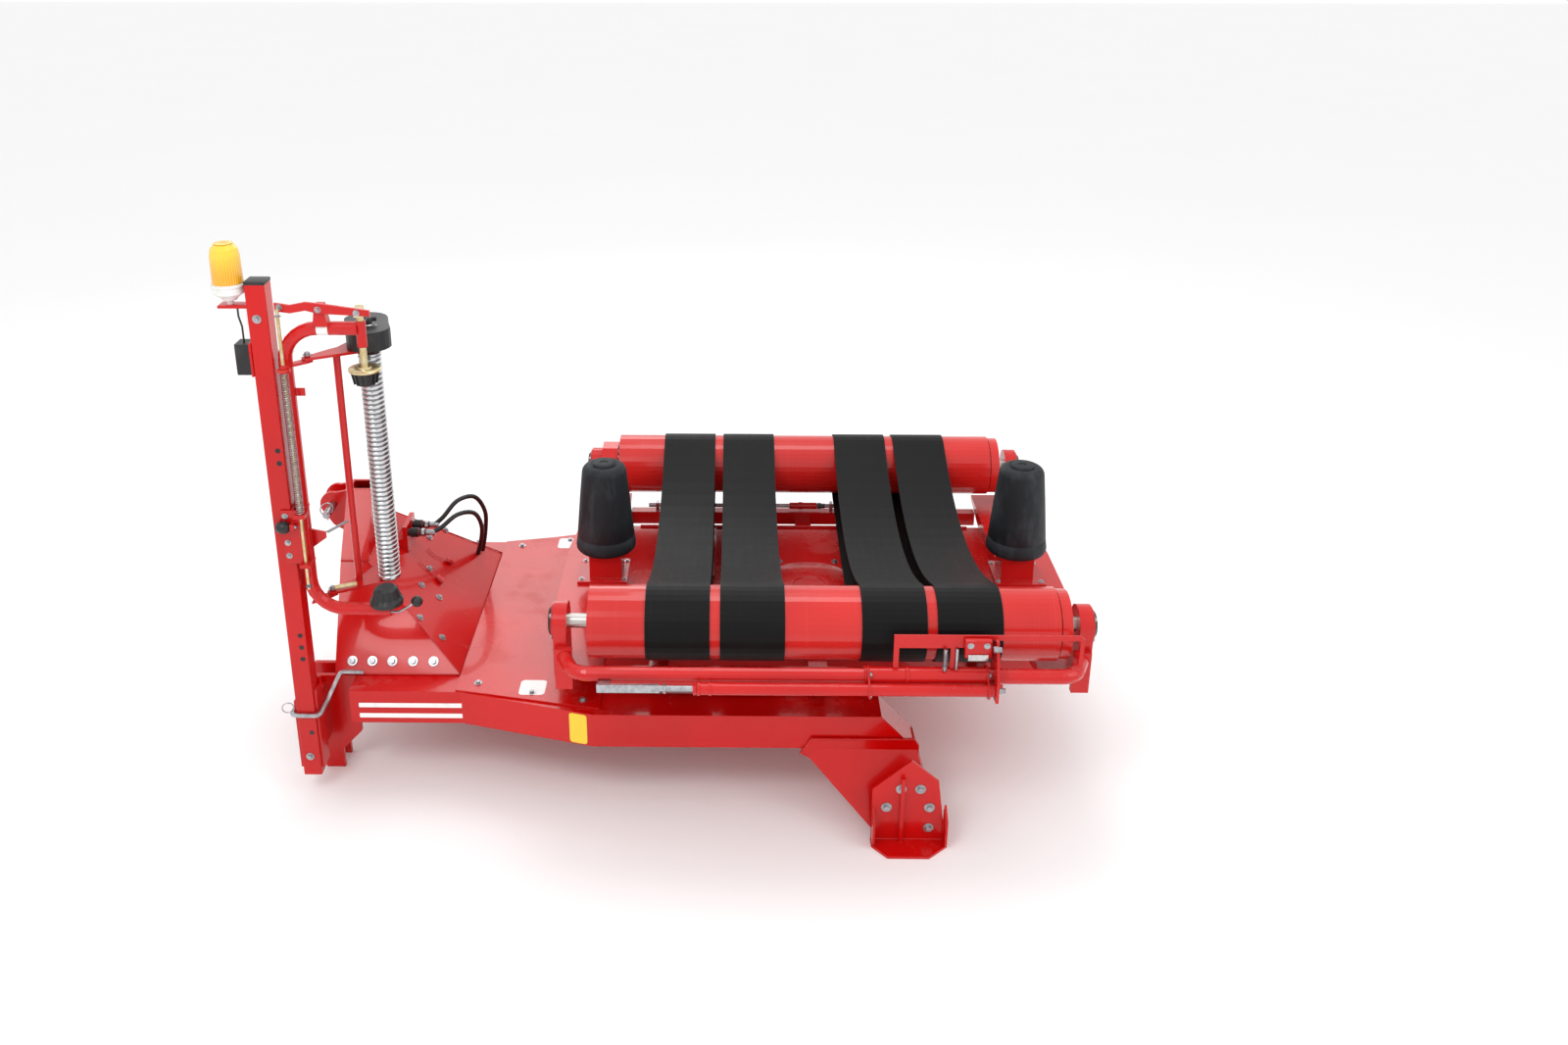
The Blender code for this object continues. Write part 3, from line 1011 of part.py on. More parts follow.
def film_release():
    """Lever, spindle with its cone, pull rod and spring that clamp the film roll."""
    y = LEVER_PLANE
    body("lever", (LEVER_PIVOT_X, y, LEVER_PIVOT_Z), "dispenser")
    z = LEVER_PIVOT_Z
    left, right = SPRING_X - 0.014, SPINDLE_X + 0.037
    bar = [(left, z + 0.019), (SPRING_X + 0.028, z + 0.0125), (LEVER_PIVOT_X - 0.035, z + 0.0215),
           (LEVER_PIVOT_X, z + 0.018), (SPINDLE_X - 0.029, z + 0.0075), (right, z - 0.002),
           (right, z - 0.020), (SPINDLE_X - 0.029, z - 0.016), (LEVER_PIVOT_X, z - 0.012),
           (LEVER_PIVOT_X - 0.035, z - 0.003), (SPRING_X + 0.028, z - 0.011), (left, z - 0.005)]
    hole = circle((LEVER_PIVOT_X, LEVER_PIVOT_Z), 0.006 + RUNNING, 16)
    finish(plate([bar, hole], "Y", y - LEVER_PLATE / 2, y + LEVER_PLATE / 2),
           "release_lever", "lever", BRIGHT_RED)
    body("spindle", (SPINDLE_X, MAST_Y, FRAME_TOP), "dispenser")
    cone_z = FILM_BOTTOM + FILM_WIDTH
    eye = box((SPINDLE_X - 0.011, y + LEVER_PLATE / 2 + 0.001, LEVER_PIVOT_Z - 0.026),
              (SPINDLE_X + 0.011, MAST_Y + 0.008, LEVER_PIVOT_Z + 0.002))
    shaft = rod(SPINDLE_RADIUS, (SPINDLE_X, MAST_Y, cone_z - 0.030), LEVER_PIVOT_Z - 0.020, "Z", 20)
    joined("film_spindle", "spindle", YELLOW_ZINC, [shaft, eye])
    body("upper_cone", (SPINDLE_X, MAST_Y, cone_z), "spindle")
    r = UPPER_CONE_RADIUS
    bore = SPINDLE_RADIUS + RUNNING
    cup = turned([(bore, 0.006), (r, 0.006), (r, 0.0), (r - 0.008, -0.003), (0.031, -0.038),
                  (0.027, -0.042), (bore, -0.042)], (SPINDLE_X, MAST_Y, cone_z), steps=24)
    finish(cup, "upper_cone", "upper_cone", BLACK_PLASTIC)
    body("pull_rod", (SPRING_X, SPRING_Y, BRACKET_TOP), "dispenser")
    rod_top = LEVER_PIVOT_Z + 0.008
    pieces = [rod(RELEASE_ROD_RADIUS, (SPRING_X, SPRING_Y, BRACKET_BOTTOM - 0.075), rod_top, "Z", 16),
              rod(0.018, (SPRING_X, SPRING_Y, SPRING_SEAT), SPRING_SEAT + 0.007, "Z", 24)]
    joined("pull_rod", "pull_rod", YELLOW_ZINC, pieces)
    inner = RELEASE_ROD_RADIUS + 0.0022
    coil = turned([(SPRING_RADIUS, SPRING_SEAT - GAP), (SPRING_RADIUS, BRACKET_TOP + GAP),
                   (inner, BRACKET_TOP + GAP), (inner, SPRING_SEAT - GAP)], (SPRING_X, SPRING_Y, 0), steps=20)
    finish(coil, "release_spring", "dispenser", ZINC)


# ---- pretension unit ---------------------------------------------------------------------------------
def pretension_unit():
    """Two geared rollers in a frame that swings on the C frame."""
    body("swing_arm", (SWING_X, SWING_Y, SWING_ARM_LOWER), "dispenser")
    low = SWING_ARM_LOWER + 0.012 + GAP
    high = SWING_ARM_UPPER - 0.008 + GAP
    rear_y = ROLLER_FRONT_Y + ROLLER_SPACING
    rear_x = ROLLER_X - ROLLER_STAGGER
    arm = [(SWING_X - 0.016, SWING_Y - 0.004), (SWING_X - 0.002, SWING_Y - 0.018),
           (ROLLER_X - 0.01, ROLLER_FRONT_Y - 0.026), (ROLLER_X + 0.022, ROLLER_FRONT_Y - 0.018),
           (rear_x + 0.028, rear_y + 0.014), (rear_x - 0.004, rear_y + 0.026),
           (rear_x - 0.030, rear_y), (UPRIGHT_X - 0.004, UPRIGHT_Y + 0.022),
           (UPRIGHT_X - 0.022, UPRIGHT_Y + 0.004)]
    hole = circle((SWING_X, SWING_Y), 0.008 + RUNNING, 20)
    pieces = [plate([arm, hole], "Z", low, low + SWING_PLATE),
              plate([arm, hole], "Z", high, high + SWING_PLATE),
              rod(UPRIGHT_RADIUS, (UPRIGHT_X, UPRIGHT_Y, low + 0.004), high + 0.004, "Z", 20)]
    for x, y in ((ROLLER_X, ROLLER_FRONT_Y), (rear_x, rear_y)):
        pieces.append(rod(ROLLER_AXLE_RADIUS, (x, y, low + 0.004), low + 0.040, "Z", 20))
        pieces.append(rod(ROLLER_AXLE_RADIUS, (x, y, high + 0.004), high - 0.030, "Z", 20))
    joined("swing_frame", "swing_arm", BRIGHT_RED, pieces)
    cover_low = high + SWING_PLATE + GAP
    middle = (ROLLER_FRONT_Y + rear_y) / 2
    around = (arc((ROLLER_X, ROLLER_FRONT_Y + 0.012), GEAR_COVER_RADIUS, 180, 360, 12)
              + arc((rear_x, rear_y - 0.012), GEAR_COVER_RADIUS, 0, 180, 12))
    cover = as_mesh(plate([around], "Z", cover_low, cover_low + GEAR_COVER_HEIGHT))
    knob = rod(0.010, (ROLLER_X - 0.004, middle - 0.02, cover_low + GEAR_COVER_HEIGHT - 0.003),
               cover_low + GEAR_COVER_HEIGHT + 0.014, "Z", 16)
    joined("gear_cover", "swing_arm", BLACK_PLASTIC, [bevelled(cover, 0.008), knob])
    bottom = low + SWING_PLATE + 0.002
    top = high - 0.002
    bore = ROLLER_AXLE_RADIUS + RUNNING
    for name, x, y in (("roller_slow", ROLLER_X, ROLLER_FRONT_Y), ("roller_fast", rear_x, rear_y)):
        body(name, (x, y, bottom), "swing_arm")
        length = top - bottom
        r = ROLLER_RADIUS
        profile = [(0, length - 0.034), (bore, length - 0.034), (bore, length), (r - 0.004, length),
                   (r, length - 0.004), (r, 0.004), (r - 0.004, 0), (bore, 0), (bore, 0.034), (0, 0.034)]
        finish(turned(profile, (x, y, bottom), steps=24), name, name, ALUMINIUM)
    lug_x = FRAME_X + 0.052
    eye_z = 0.915
    body("tension_spring", (lug_x, MAST_Y, eye_z), "dispenser")
    end = Vector((UPRIGHT_X, UPRIGHT_Y, eye_z))
    start = Vector((lug_x, MAST_Y + 0.003 + GAP + 0.004, eye_z))
    along = (end - start).normalized()
    stop = end - along * (UPRIGHT_RADIUS + 0.0006)
    finish(tube([start, start + along * 0.02, stop - along * 0.02, stop], 0.0045, 2),
           "tension_spring", "tension_spring", ZINC)


dispenser()
film_release()
pretension_unit()


# ---- origin at the middle of the footprint -----------------------------------------------------------
def centre_machine():
    bpy.context.view_layer.update()
    graph = bpy.context.evaluated_depsgraph_get()
    corners = []
    for item in PARTS.objects:
        if item.type == "EMPTY":
            continue
        seen = item.evaluated_get(graph)
        mesh = seen.to_mesh()
        corners += [item.matrix_world @ vertex.co for vertex in mesh.vertices]
        seen.to_mesh_clear()
    middle = [(min(c[i] for c in corners) + max(c[i] for c in corners)) / 2 for i in (0, 1)]
    ground = min(c[2] for c in corners)
    BODIES["chassis"][0].location = (-middle[0], -middle[1], -ground)
    bpy.context.view_layer.update()
    print("machine moved by", [round(-v, 6) for v in (*middle, ground)])


centre_machine()
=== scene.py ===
"""Looks of a turntable bale wrapper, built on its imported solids.

Metres, +Z up, +X from the hitch towards the support feet, -Y towards the film dispenser.
"""
import math
import bmesh
import bpy
from mathutils import Matrix, Vector


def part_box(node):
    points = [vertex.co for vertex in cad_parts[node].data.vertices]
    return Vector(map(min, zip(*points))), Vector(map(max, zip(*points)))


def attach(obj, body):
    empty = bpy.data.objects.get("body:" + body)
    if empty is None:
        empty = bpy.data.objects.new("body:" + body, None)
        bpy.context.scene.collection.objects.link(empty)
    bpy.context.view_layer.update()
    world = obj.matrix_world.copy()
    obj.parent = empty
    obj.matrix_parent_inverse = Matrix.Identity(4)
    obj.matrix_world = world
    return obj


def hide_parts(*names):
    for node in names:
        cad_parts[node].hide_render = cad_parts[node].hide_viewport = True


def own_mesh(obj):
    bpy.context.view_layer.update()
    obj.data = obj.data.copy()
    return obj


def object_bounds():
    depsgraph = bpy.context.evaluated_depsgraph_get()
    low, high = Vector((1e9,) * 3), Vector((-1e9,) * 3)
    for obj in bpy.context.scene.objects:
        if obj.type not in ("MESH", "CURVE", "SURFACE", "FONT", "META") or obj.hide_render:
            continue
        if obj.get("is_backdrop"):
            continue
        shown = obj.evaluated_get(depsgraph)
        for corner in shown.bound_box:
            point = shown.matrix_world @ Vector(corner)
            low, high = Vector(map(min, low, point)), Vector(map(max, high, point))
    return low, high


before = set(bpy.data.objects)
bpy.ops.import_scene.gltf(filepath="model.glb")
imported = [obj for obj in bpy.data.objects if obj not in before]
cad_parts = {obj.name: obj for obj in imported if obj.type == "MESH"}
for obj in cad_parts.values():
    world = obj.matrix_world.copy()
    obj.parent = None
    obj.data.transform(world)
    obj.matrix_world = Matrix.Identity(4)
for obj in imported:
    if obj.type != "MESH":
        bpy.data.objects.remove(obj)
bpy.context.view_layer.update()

# ---- camera ----------------------------------------------------------
# A standing person's view from the dispenser's side, slightly above the bale table.
# The headstock is at the left and the free end of the turntable at the right.
VIEW_PLACE = (0.16889, -4.12432, 2.7522)
VIEW_TILT = (math.pi / 2 - 0.345685, 0.0, 0.0126939)
VIEW_LENS = 30.6442
VIEW_SHIFT = (0.04248, -0.1)
bpy.ops.object.camera_add(location=VIEW_PLACE, rotation=VIEW_TILT)
camera = bpy.context.object
camera.name = "camera"
camera.data.sensor_width = 36.0
camera.data.lens = VIEW_LENS
camera.data.shift_x, camera.data.shift_y = VIEW_SHIFT
bpy.context.scene.camera = camera

# ---- hoses -----------------------------------------------------------
# Two rubber-covered hydraulic hoses, 16 mm across.  They come up out of the sloping cover,
# arch over it and are parked in their holder by the couplings on their ends.
HOSE_DIAMETER = 0.016


def node_box(name):
    """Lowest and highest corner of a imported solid."""
    low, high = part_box(name)
    return Vector(low), Vector(high)


def node_middle(name):
    low, high = node_box(name)
    return (low + high) / 2


TABLE_AXIS = node_middle("slew_ring").x


def at(x, y, z):
    """A place measured from the turntable's axis on the ground."""
    return Vector((TABLE_AXIS + x, y, z))


def deselect():
    if bpy.context.object and bpy.context.object.mode != "OBJECT":
        bpy.ops.object.mode_set(mode="OBJECT")
    bpy.ops.object.select_all(action="DESELECT")


def path_curve(name, points, radius, resolution=4):
    """A round cord or bar along its points, as one open spline."""
    deselect()
    curve = bpy.data.curves.new(name, "CURVE")
    curve.dimensions = "3D"
    curve.bevel_depth = radius
    curve.bevel_resolution = resolution
    curve.use_fill_caps = True
    spline = curve.splines.new("POLY")
    spline.points.add(len(points) - 1)
    for point, place in zip(spline.points, points):
        point.co = (*place, 1)
    piece = bpy.data.objects.new(name, curve)
    bpy.context.collection.objects.link(piece)
    return piece


def as_solid(piece):
    """A curve made a mesh, with its place in it."""
    deselect()
    piece.select_set(True)
    bpy.context.view_layer.objects.active = piece
    bpy.ops.object.convert(target="MESH")
    piece = bpy.context.object
    bpy.ops.object.mode_set(mode="EDIT")
    bpy.ops.mesh.select_all(action="SELECT")
    bpy.ops.mesh.remove_doubles(threshold=0.00001)
    bpy.ops.mesh.normals_make_consistent(inside=False)
    bpy.ops.object.mode_set(mode="OBJECT")
    bpy.ops.object.shade_smooth_by_angle(angle=math.radians(50))
    return piece


def smooth_route(points, per_leg=5):
    """Points along a smooth curve through a route's own points."""
    route = [Vector(p) for p in points]
    ends = [route[0] * 2 - route[1]] + route + [route[-1] * 2 - route[-2]]
    path = []
    for a, b, c, d in zip(ends, ends[1:], ends[2:], ends[3:]):
        for i in range(per_leg):
            t = i / per_leg
            path.append(0.5 * (2 * b + (c - a) * t + (2 * a - 5 * b + 4 * c - d) * t * t
                               + (3 * b - a - 3 * c + d) * t ** 3))
    path.append(route[-1])
    return path


def length_of(points):
    return sum((b - a).length for a, b in zip(points, points[1:]))


COVER_FOOT = (-1.147, 0.35)    # right-hand edge of the sloping cover: x and height
COVER_HEAD = (-1.481, 0.639)    # where that slope meets the tower
PLUG_FACE = -1.412              # back of the couplings in their holder
PLUG_LENGTH = 0.075


def cover_height(x):
    share = (COVER_FOOT[0] - x) / (COVER_FOOT[0] - COVER_HEAD[0])
    return COVER_FOOT[1] + share * (COVER_HEAD[1] - COVER_FOOT[1])


PLUG_HEIGHT = cover_height(-1.4) + 0.062
HOSE_START = PLUG_FACE + PLUG_LENGTH + 0.0003
HOSE_ROUTES = {
    "supply": (0.04, [(-1.285, 0.05, 0.645), (-1.235, 0.09, 0.675), (-1.19, 0.155, 0.65),
                       (-1.178, 0.215, 0.57), (-1.195, 0.265, 0.48), (-1.215, 0.29)]),
    "return": (0.1, [(-1.29, 0.112, 0.655), (-1.245, 0.15, 0.7), (-1.195, 0.205, 0.69),
                       (-1.172, 0.262, 0.605), (-1.185, 0.31, 0.5), (-1.205, 0.335)])}
hoses = []
for word, (plug_y, route) in HOSE_ROUTES.items():
    end_x, end_y = route[-1]
    points = [(HOSE_START + 0.003, plug_y, PLUG_HEIGHT), (HOSE_START + 0.015, plug_y, PLUG_HEIGHT),
              *route[:-1], (end_x, end_y, cover_height(end_x) + 0.008)]
    path = [Vector((HOSE_START, plug_y, PLUG_HEIGHT))] + smooth_route(points)
    path = [at(*p) for p in path]
    hose = as_solid(path_curve(f"{word}_hose", path, HOSE_DIAMETER / 2, 6))
    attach(hose, "chassis")
    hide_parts(f"hose_{word}")
    length_of(path)
    hoses.append(hose)

# ---- shader tools and the hoses' rubber ------------------------------
# Sums on values are written as sums: an overloaded operator adds its Math node.
# A Finish is one material, and its methods add the nodes that colour, roughen and emboss it.


class Value:
    """One output of a node, with arithmetic that adds Math nodes."""

    def __init__(self, finish, socket):
        self.finish = finish
        self.socket = socket

    def math(self, operation, *others, clamp=False):
        values = {i: v for i, v in enumerate(others)}
        return self.finish.node("ShaderNodeMath", {"operation": operation, "use_clamp": clamp}, values)

    def __add__(self, other): return self.math("ADD", self, other)
    def __radd__(self, other): return self.math("ADD", other, self)
    def __sub__(self, other): return self.math("SUBTRACT", self, other)
    def __rsub__(self, other): return self.math("SUBTRACT", other, self)
    def __mul__(self, other): return self.math("MULTIPLY", self, other)
    def __rmul__(self, other): return self.math("MULTIPLY", other, self)
    def __truediv__(self, other): return self.math("DIVIDE", self, other)
    def sine(self): return self.math("SINE", self)
    def size(self): return self.math("ABSOLUTE", self)
    def within(self): return self.math("ADD", self, 0.0, clamp=True)
    def over(self, level): return self.math("GREATER_THAN", self, level)

    def ease(self, low, high):
        """0 below low, 1 above high, and smooth between them."""
        return self.finish.node("ShaderNodeMapRange", {"interpolation_type": "SMOOTHSTEP"},
                                {"Value": self, "From Min": low, "From Max": high})


class Finish:
    """A procedural surface: its Principled shader and the nodes that feed it."""

    def __init__(self, name, colour, roughness, metallic=0.0, coat=0.0, coat_roughness=0.05,
                 specular=0.5):
        self.material = bpy.data.materials.new(name)
        self.material.use_nodes = True
        self.tree = self.material.node_tree
        self.shader = self.tree.nodes["Principled BSDF"]
        self.colour = (*colour, 1.0)
        for socket, value in (("Base Color", self.colour), ("Roughness", roughness),
                              ("Metallic", metallic), ("Coat Weight", coat),
                              ("Coat Roughness", coat_roughness), ("Specular IOR Level", specular)):
            self.shader.inputs[socket].default_value = value
        self.material.diffuse_color = self.colour
        self.place = self.node("ShaderNodeTexCoord", {}, {}, "Object")

    def node(self, kind, settings, inputs, output=0):
        """Any node, from its type, its settings, and the values or links of its sockets."""
        made = self.tree.nodes.new(kind)
        for key, value in settings.items():
            setattr(made, key, value)
        for key, value in inputs.items():
            if isinstance(value, Value):
                self.tree.links.new(value.socket, made.inputs[key])
            else:
                made.inputs[key].default_value = value
        return Value(self, made.outputs[output])

    def noise(self, scale, detail=3.0, roughness=0.5, place=None):
        return self.node("ShaderNodeTexNoise", {}, {"Vector": place or self.place, "Scale": scale,
                         "Detail": detail, "Roughness": roughness})

    def stretched(self, x, y, z):
        return self.node("ShaderNodeMapping", {}, {"Vector": self.place, "Scale": (x, y, z)})

    def part(self, letter, vector=None):
        """One coordinate of a vector, the place itself if none is given."""
        return self.node("ShaderNodeSeparateXYZ", {}, {"Vector": vector or self.place}, letter)

    def facing_up(self):
        return self.part("Z", self.node("ShaderNodeNewGeometry", {}, {}, "Normal"))

    def mix(self, share, first, second):
        """From the first colour to the second."""
        first = (*first, 1.0) if isinstance(first, tuple) and len(first) == 3 else first
        second = (*second, 1.0) if isinstance(second, tuple) and len(second) == 3 else second
        return self.node("ShaderNodeMix", {"data_type": "RGBA"}, {0: share, 6: first, 7: second}, 2)

    def worn_edges(self, radius=0.0025):
        """How much an edge shows here: the rounded normal leaves the flat one."""
        rounded = self.node("ShaderNodeBevel", {"samples": 4}, {"Radius": radius})
        flat = self.node("ShaderNodeNewGeometry", {}, {}, "Normal")
        even = self.node("ShaderNodeVectorMath", {"operation": "DOT_PRODUCT"},
                         {0: rounded, 1: flat}, "Value")
        return rounded, 1 - even

    def set(self, socket, value):
        self.tree.links.new(value.socket, self.shader.inputs[socket])

    def bump(self, height, distance, strength=1.0, normal=None):
        inputs = {"Height": height, "Distance": distance, "Strength": strength}
        if normal:
            inputs["Normal"] = normal
        self.set("Normal", self.node("ShaderNodeBump", {}, inputs))


def wear_finish(piece, finish):
    """Give a piece its finish in every slot."""
    data = piece.data
    if data.materials:
        for slot in piece.material_slots:
            slot.material = finish.material
    else:
        data.materials.append(finish.material)


hose_rubber = Finish("hose_rubber", (0.01, 0.01, 0.011), 0.42, coat=0.12, coat_roughness=0.25)
wrap = (hose_rubber.part("X") + hose_rubber.part("Y") + hose_rubber.part("Z")) * 1400.0
scuff = hose_rubber.noise(160.0, 4.0)
hose_rubber.set("Base Color", hose_rubber.mix(scuff.ease(0.55, 0.75) * 0.5, (0.009, 0.009, 0.01),
                                              (0.045, 0.044, 0.042)))
hose_rubber.set("Roughness", 0.34 + scuff * 0.22)
hose_rubber.bump(wrap.sine() * 0.5 + scuff, 0.0004, 0.5)
for hose in hoses:
    wear_finish(hose, hose_rubber)

# ---- floor and light -------------------------------------------------
# A white studio floor under broad, soft lamps.
# It lies half a millimetre below the soles of the feet.
FLOOR_SIZE = 60.0
deselect()
bpy.ops.mesh.primitive_plane_add(size=FLOOR_SIZE, location=(0, 0, -0.0005))
floor = bpy.context.object
floor.name = "studio_floor"
paper = Finish("studio_paper", (0.93, 0.93, 0.93), 0.75)
paper.set("Base Color", paper.mix(paper.noise(0.8, 2.0), (0.925, 0.925, 0.925), (0.94, 0.94, 0.94)))
wear_finish(floor, paper)
floor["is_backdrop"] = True
world = bpy.data.worlds.new("studio")
bpy.context.scene.world = world
world.use_nodes = True
world.node_tree.nodes["Background"].inputs["Color"].default_value = (1.0, 1.0, 1.0, 1.0)
world.node_tree.nodes["Background"].inputs["Strength"].default_value = 1.0
LAMPS = (("key", (-1.8, -3.6, 4.6), 1.6, 60.0), ("fill", (3.6, -2.2, 3.4), 2.0, 25.0),
         ("top", (0.3, 1.0, 5.0), 2.0, 40.0), ("back", (-1.0, 4.4, 3.2), 2.0, 25.0))
for word, place, size, power in LAMPS:
    aim = Vector((0.1, 0.0, 0.5)) - Vector(place)
    bpy.ops.object.light_add(type="AREA", location=place, rotation=aim.to_track_quat("-Z", "Y").to_euler())
    lamp = bpy.context.object
    lamp.name = f"{word}_lamp"
    lamp.data.size = size
    lamp.data.energy = power
bpy.context.scene.view_settings.view_transform = "Standard"

# ---- painted steel ---------------------------------------------------
# Welded and folded steel in gloss red enamel: a deep coat on the chassis and a brighter one on
# the turntable and the dispenser, thin at the edges and dusty where it faces up.


def enamel(name, deep, light, orange_peel=0.35):
    paint = Finish(name, deep, 0.3, coat=0.3, coat_roughness=0.05, specular=0.3)
    rounded, edge = paint.worn_edges()
    cloud = paint.noise(2.6, 3.0)
    grain = paint.noise(55.0, 5.0, 0.6)
    colour = paint.mix(cloud.ease(0.3, 0.72), deep, light)
    dust = paint.facing_up().ease(0.55, 0.98) * paint.noise(7.0, 8.0, 0.68).ease(0.5, 0.74) * 0.1
    colour = paint.mix(dust, colour, (0.42, 0.33, 0.27))
    thin = (edge.ease(0.015, 0.2) * grain.ease(0.4, 0.62)).within()
    colour = paint.mix(thin * 0.38, colour, tuple(min(1.0, c * 1.5 + 0.03) for c in light))
    chip = (edge.ease(0.05, 0.25) * paint.noise(120.0, 3.0).ease(0.66, 0.7)).within()
    paint.set("Base Color", paint.mix(chip * 0.8, colour, (0.2, 0.19, 0.18)))
    paint.set("Roughness", 0.2 + grain * 0.1 + dust * 1.6 + chip * 0.2)
    paint.set("Coat Weight", 0.3 - dust * 1.2 - chip * 0.25)
    ripple = paint.noise(240.0, 2.0) + paint.noise(26.0, 2.0) * 2.0
    paint.bump(ripple, 0.0004, orange_peel, rounded)
    return paint


chassis_enamel = enamel("chassis_enamel", (0.5, 0.001, 0.0008), (0.6, 0.0014, 0.0011))
table_enamel = enamel("table_enamel", (0.52, 0.005, 0.005), (0.6, 0.0085, 0.008))
CHASSIS_RED = ("beam_front", "beam_rear", "cross_beam_hitch", "ring_carrier", "foot_front", "foot_rear",
               "lower_link_bracket_front", "lower_link_bracket_rear", "headstock_cover",
               "headstock_tower", "top_link_clevis", "mast", "mast_socket", "coupling_holder", "deck_cover")
TABLE_RED = ("table_base", "end_frame_left", "end_frame_right", "drive_motor", "cone_bracket_left",
             "cone_bracket_right", "cutter_guide_tube", "cutter_barrel", "cutter_sleeve", "cutter_guard",
             "dispenser_frame", "mast_bracket", "release_lever", "swing_frame")
for name in CHASSIS_RED:
    wear_finish(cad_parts[name], chassis_enamel)
for name in TABLE_RED:
    wear_finish(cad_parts[name], table_enamel)

# ---- drums -----------------------------------------------------------
# Two rolled steel drums in a lighter red.  Where the belts run, the enamel is polished in rings;
# their shaft ends are bright steel.
drum_enamel = Finish("drum_enamel", (0.7, 0.02, 0.016), 0.26, coat=0.35, coat_roughness=0.05,
                     specular=0.35)
COLLAR_END = 0.7355             # right end of a drum's collar, from the table's axis
DRUM_LEFT = 0.7004              # its left end, which has no collar
drum_x = drum_enamel.part("X")
beyond_collar = (drum_x - TABLE_AXIS).size().over(COLLAR_END)
bare = (beyond_collar + (TABLE_AXIS - DRUM_LEFT - drum_x).over(0.0)).within()
turns = drum_enamel.noise(1.0, 4.0, 0.6, drum_enamel.stretched(260.0, 2.0, 2.0))
cloud = drum_enamel.noise(3.0, 3.0)
colour = drum_enamel.mix(cloud.ease(0.3, 0.7), (0.53, 0.011, 0.009), (0.61, 0.017, 0.014))
colour = drum_enamel.mix(turns.ease(0.55, 0.75) * 0.12, colour, (0.85, 0.08, 0.06))
drum_enamel.set("Base Color", drum_enamel.mix(bare, colour, (0.55, 0.53, 0.5)))
drum_enamel.set("Metallic", bare * 1.0)
drum_enamel.set("Roughness", 0.17 + turns * 0.12 + bare * 0.1)
rounded, edge = drum_enamel.worn_edges(0.002)
drum_enamel.bump(turns + cloud, 0.0005, 0.25, rounded)
for name in ("drum_front", "drum_rear"):
    wear_finish(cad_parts[name], drum_enamel)

# ---- belts -----------------------------------------------------------
# Four endless belts of satin black rubber on fabric.  Their faces have a fine cross-ribbed
# grain, with lighter streaks along their run and lighter patches.
belt_rubber = Finish("belt_rubber", (0.006, 0.006, 0.007), 0.5, specular=0.17)
weave_x = (belt_rubber.part("X") * 2600.0).sine()
weave_y = (belt_rubber.part("Y") * 2600.0).sine()
smear = belt_rubber.noise(1.0, 4.0, 0.6, belt_rubber.stretched(60.0, 3.0, 3.0))
patch = belt_rubber.noise(9.0, 5.0, 0.62)
belt_rubber.set("Base Color", belt_rubber.mix(
    (smear.ease(0.5, 0.8) * 0.35 + patch.ease(0.55, 0.8) * 0.25).within(),
    (0.0022, 0.0022, 0.0025), (0.009, 0.009, 0.0098)))
belt_rubber.set("Roughness", 0.36 + smear * 0.16 + patch * 0.1)
belt_rubber.bump(weave_x * weave_y * 0.25 + smear * 0.4, 0.0002, 0.3)
for number in (1, 2, 3, 4):
    wear_finish(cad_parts[f"belt_{number}"], belt_rubber)

# ---- side cones ------------------------------------------------------
# Moulded rubber cones that hold the bale at its ends, free to turn on their pins.  The crown is
# domed round a raised disc, and the skin is matt with rub marks where bales have touched it.
cone_rubber = Finish("cone_rubber", (0.02, 0.022, 0.026), 0.58, specular=0.3)
rub = cone_rubber.noise(1.0, 6.0, 0.65, cone_rubber.stretched(14.0, 14.0, 5.0))
skin = cone_rubber.noise(420.0, 2.0)
cone_rubber.set("Base Color", cone_rubber.mix(rub.ease(0.46, 0.72) * 0.8, (0.009, 0.011, 0.014),
                                              (0.04, 0.045, 0.053)))
cone_rubber.set("Roughness", 0.46 + rub * 0.22)
cone_rubber.bump(skin * 0.5 + rub * 1.5, 0.0005, 0.6)


def selected_in_edit(piece, test):
    """Select the faces that pass a test, in edit mode."""
    mesh = bmesh.from_edit_mesh(piece.data)
    mesh.faces.ensure_lookup_table()
    for face in mesh.faces:
        face.select_set(bool(test(face)))
    mesh.select_flush_mode()
    bmesh.update_edit_mesh(piece.data)


def settled(piece, place=None, turn=None):
    """Set a piece's place and turn into its mesh, so that its object stays at the origin."""
    deselect()
    matrix = Matrix.Translation(place or (0, 0, 0)) @ (turn or Matrix.Identity(4))
    piece.data.transform(matrix @ piece.matrix_world)
    piece.matrix_world = Matrix.Identity(4)
    return piece


TURNS = {"+Z": Matrix.Identity(4), "-Z": Matrix.Rotation(math.pi, 4, "X"),
         "+X": Matrix.Rotation(math.pi / 2, 4, "Y"), "-X": Matrix.Rotation(-math.pi / 2, 4, "Y"),
         "-Y": Matrix.Rotation(math.pi / 2, 4, "X"), "+Y": Matrix.Rotation(-math.pi / 2, 4, "X")}


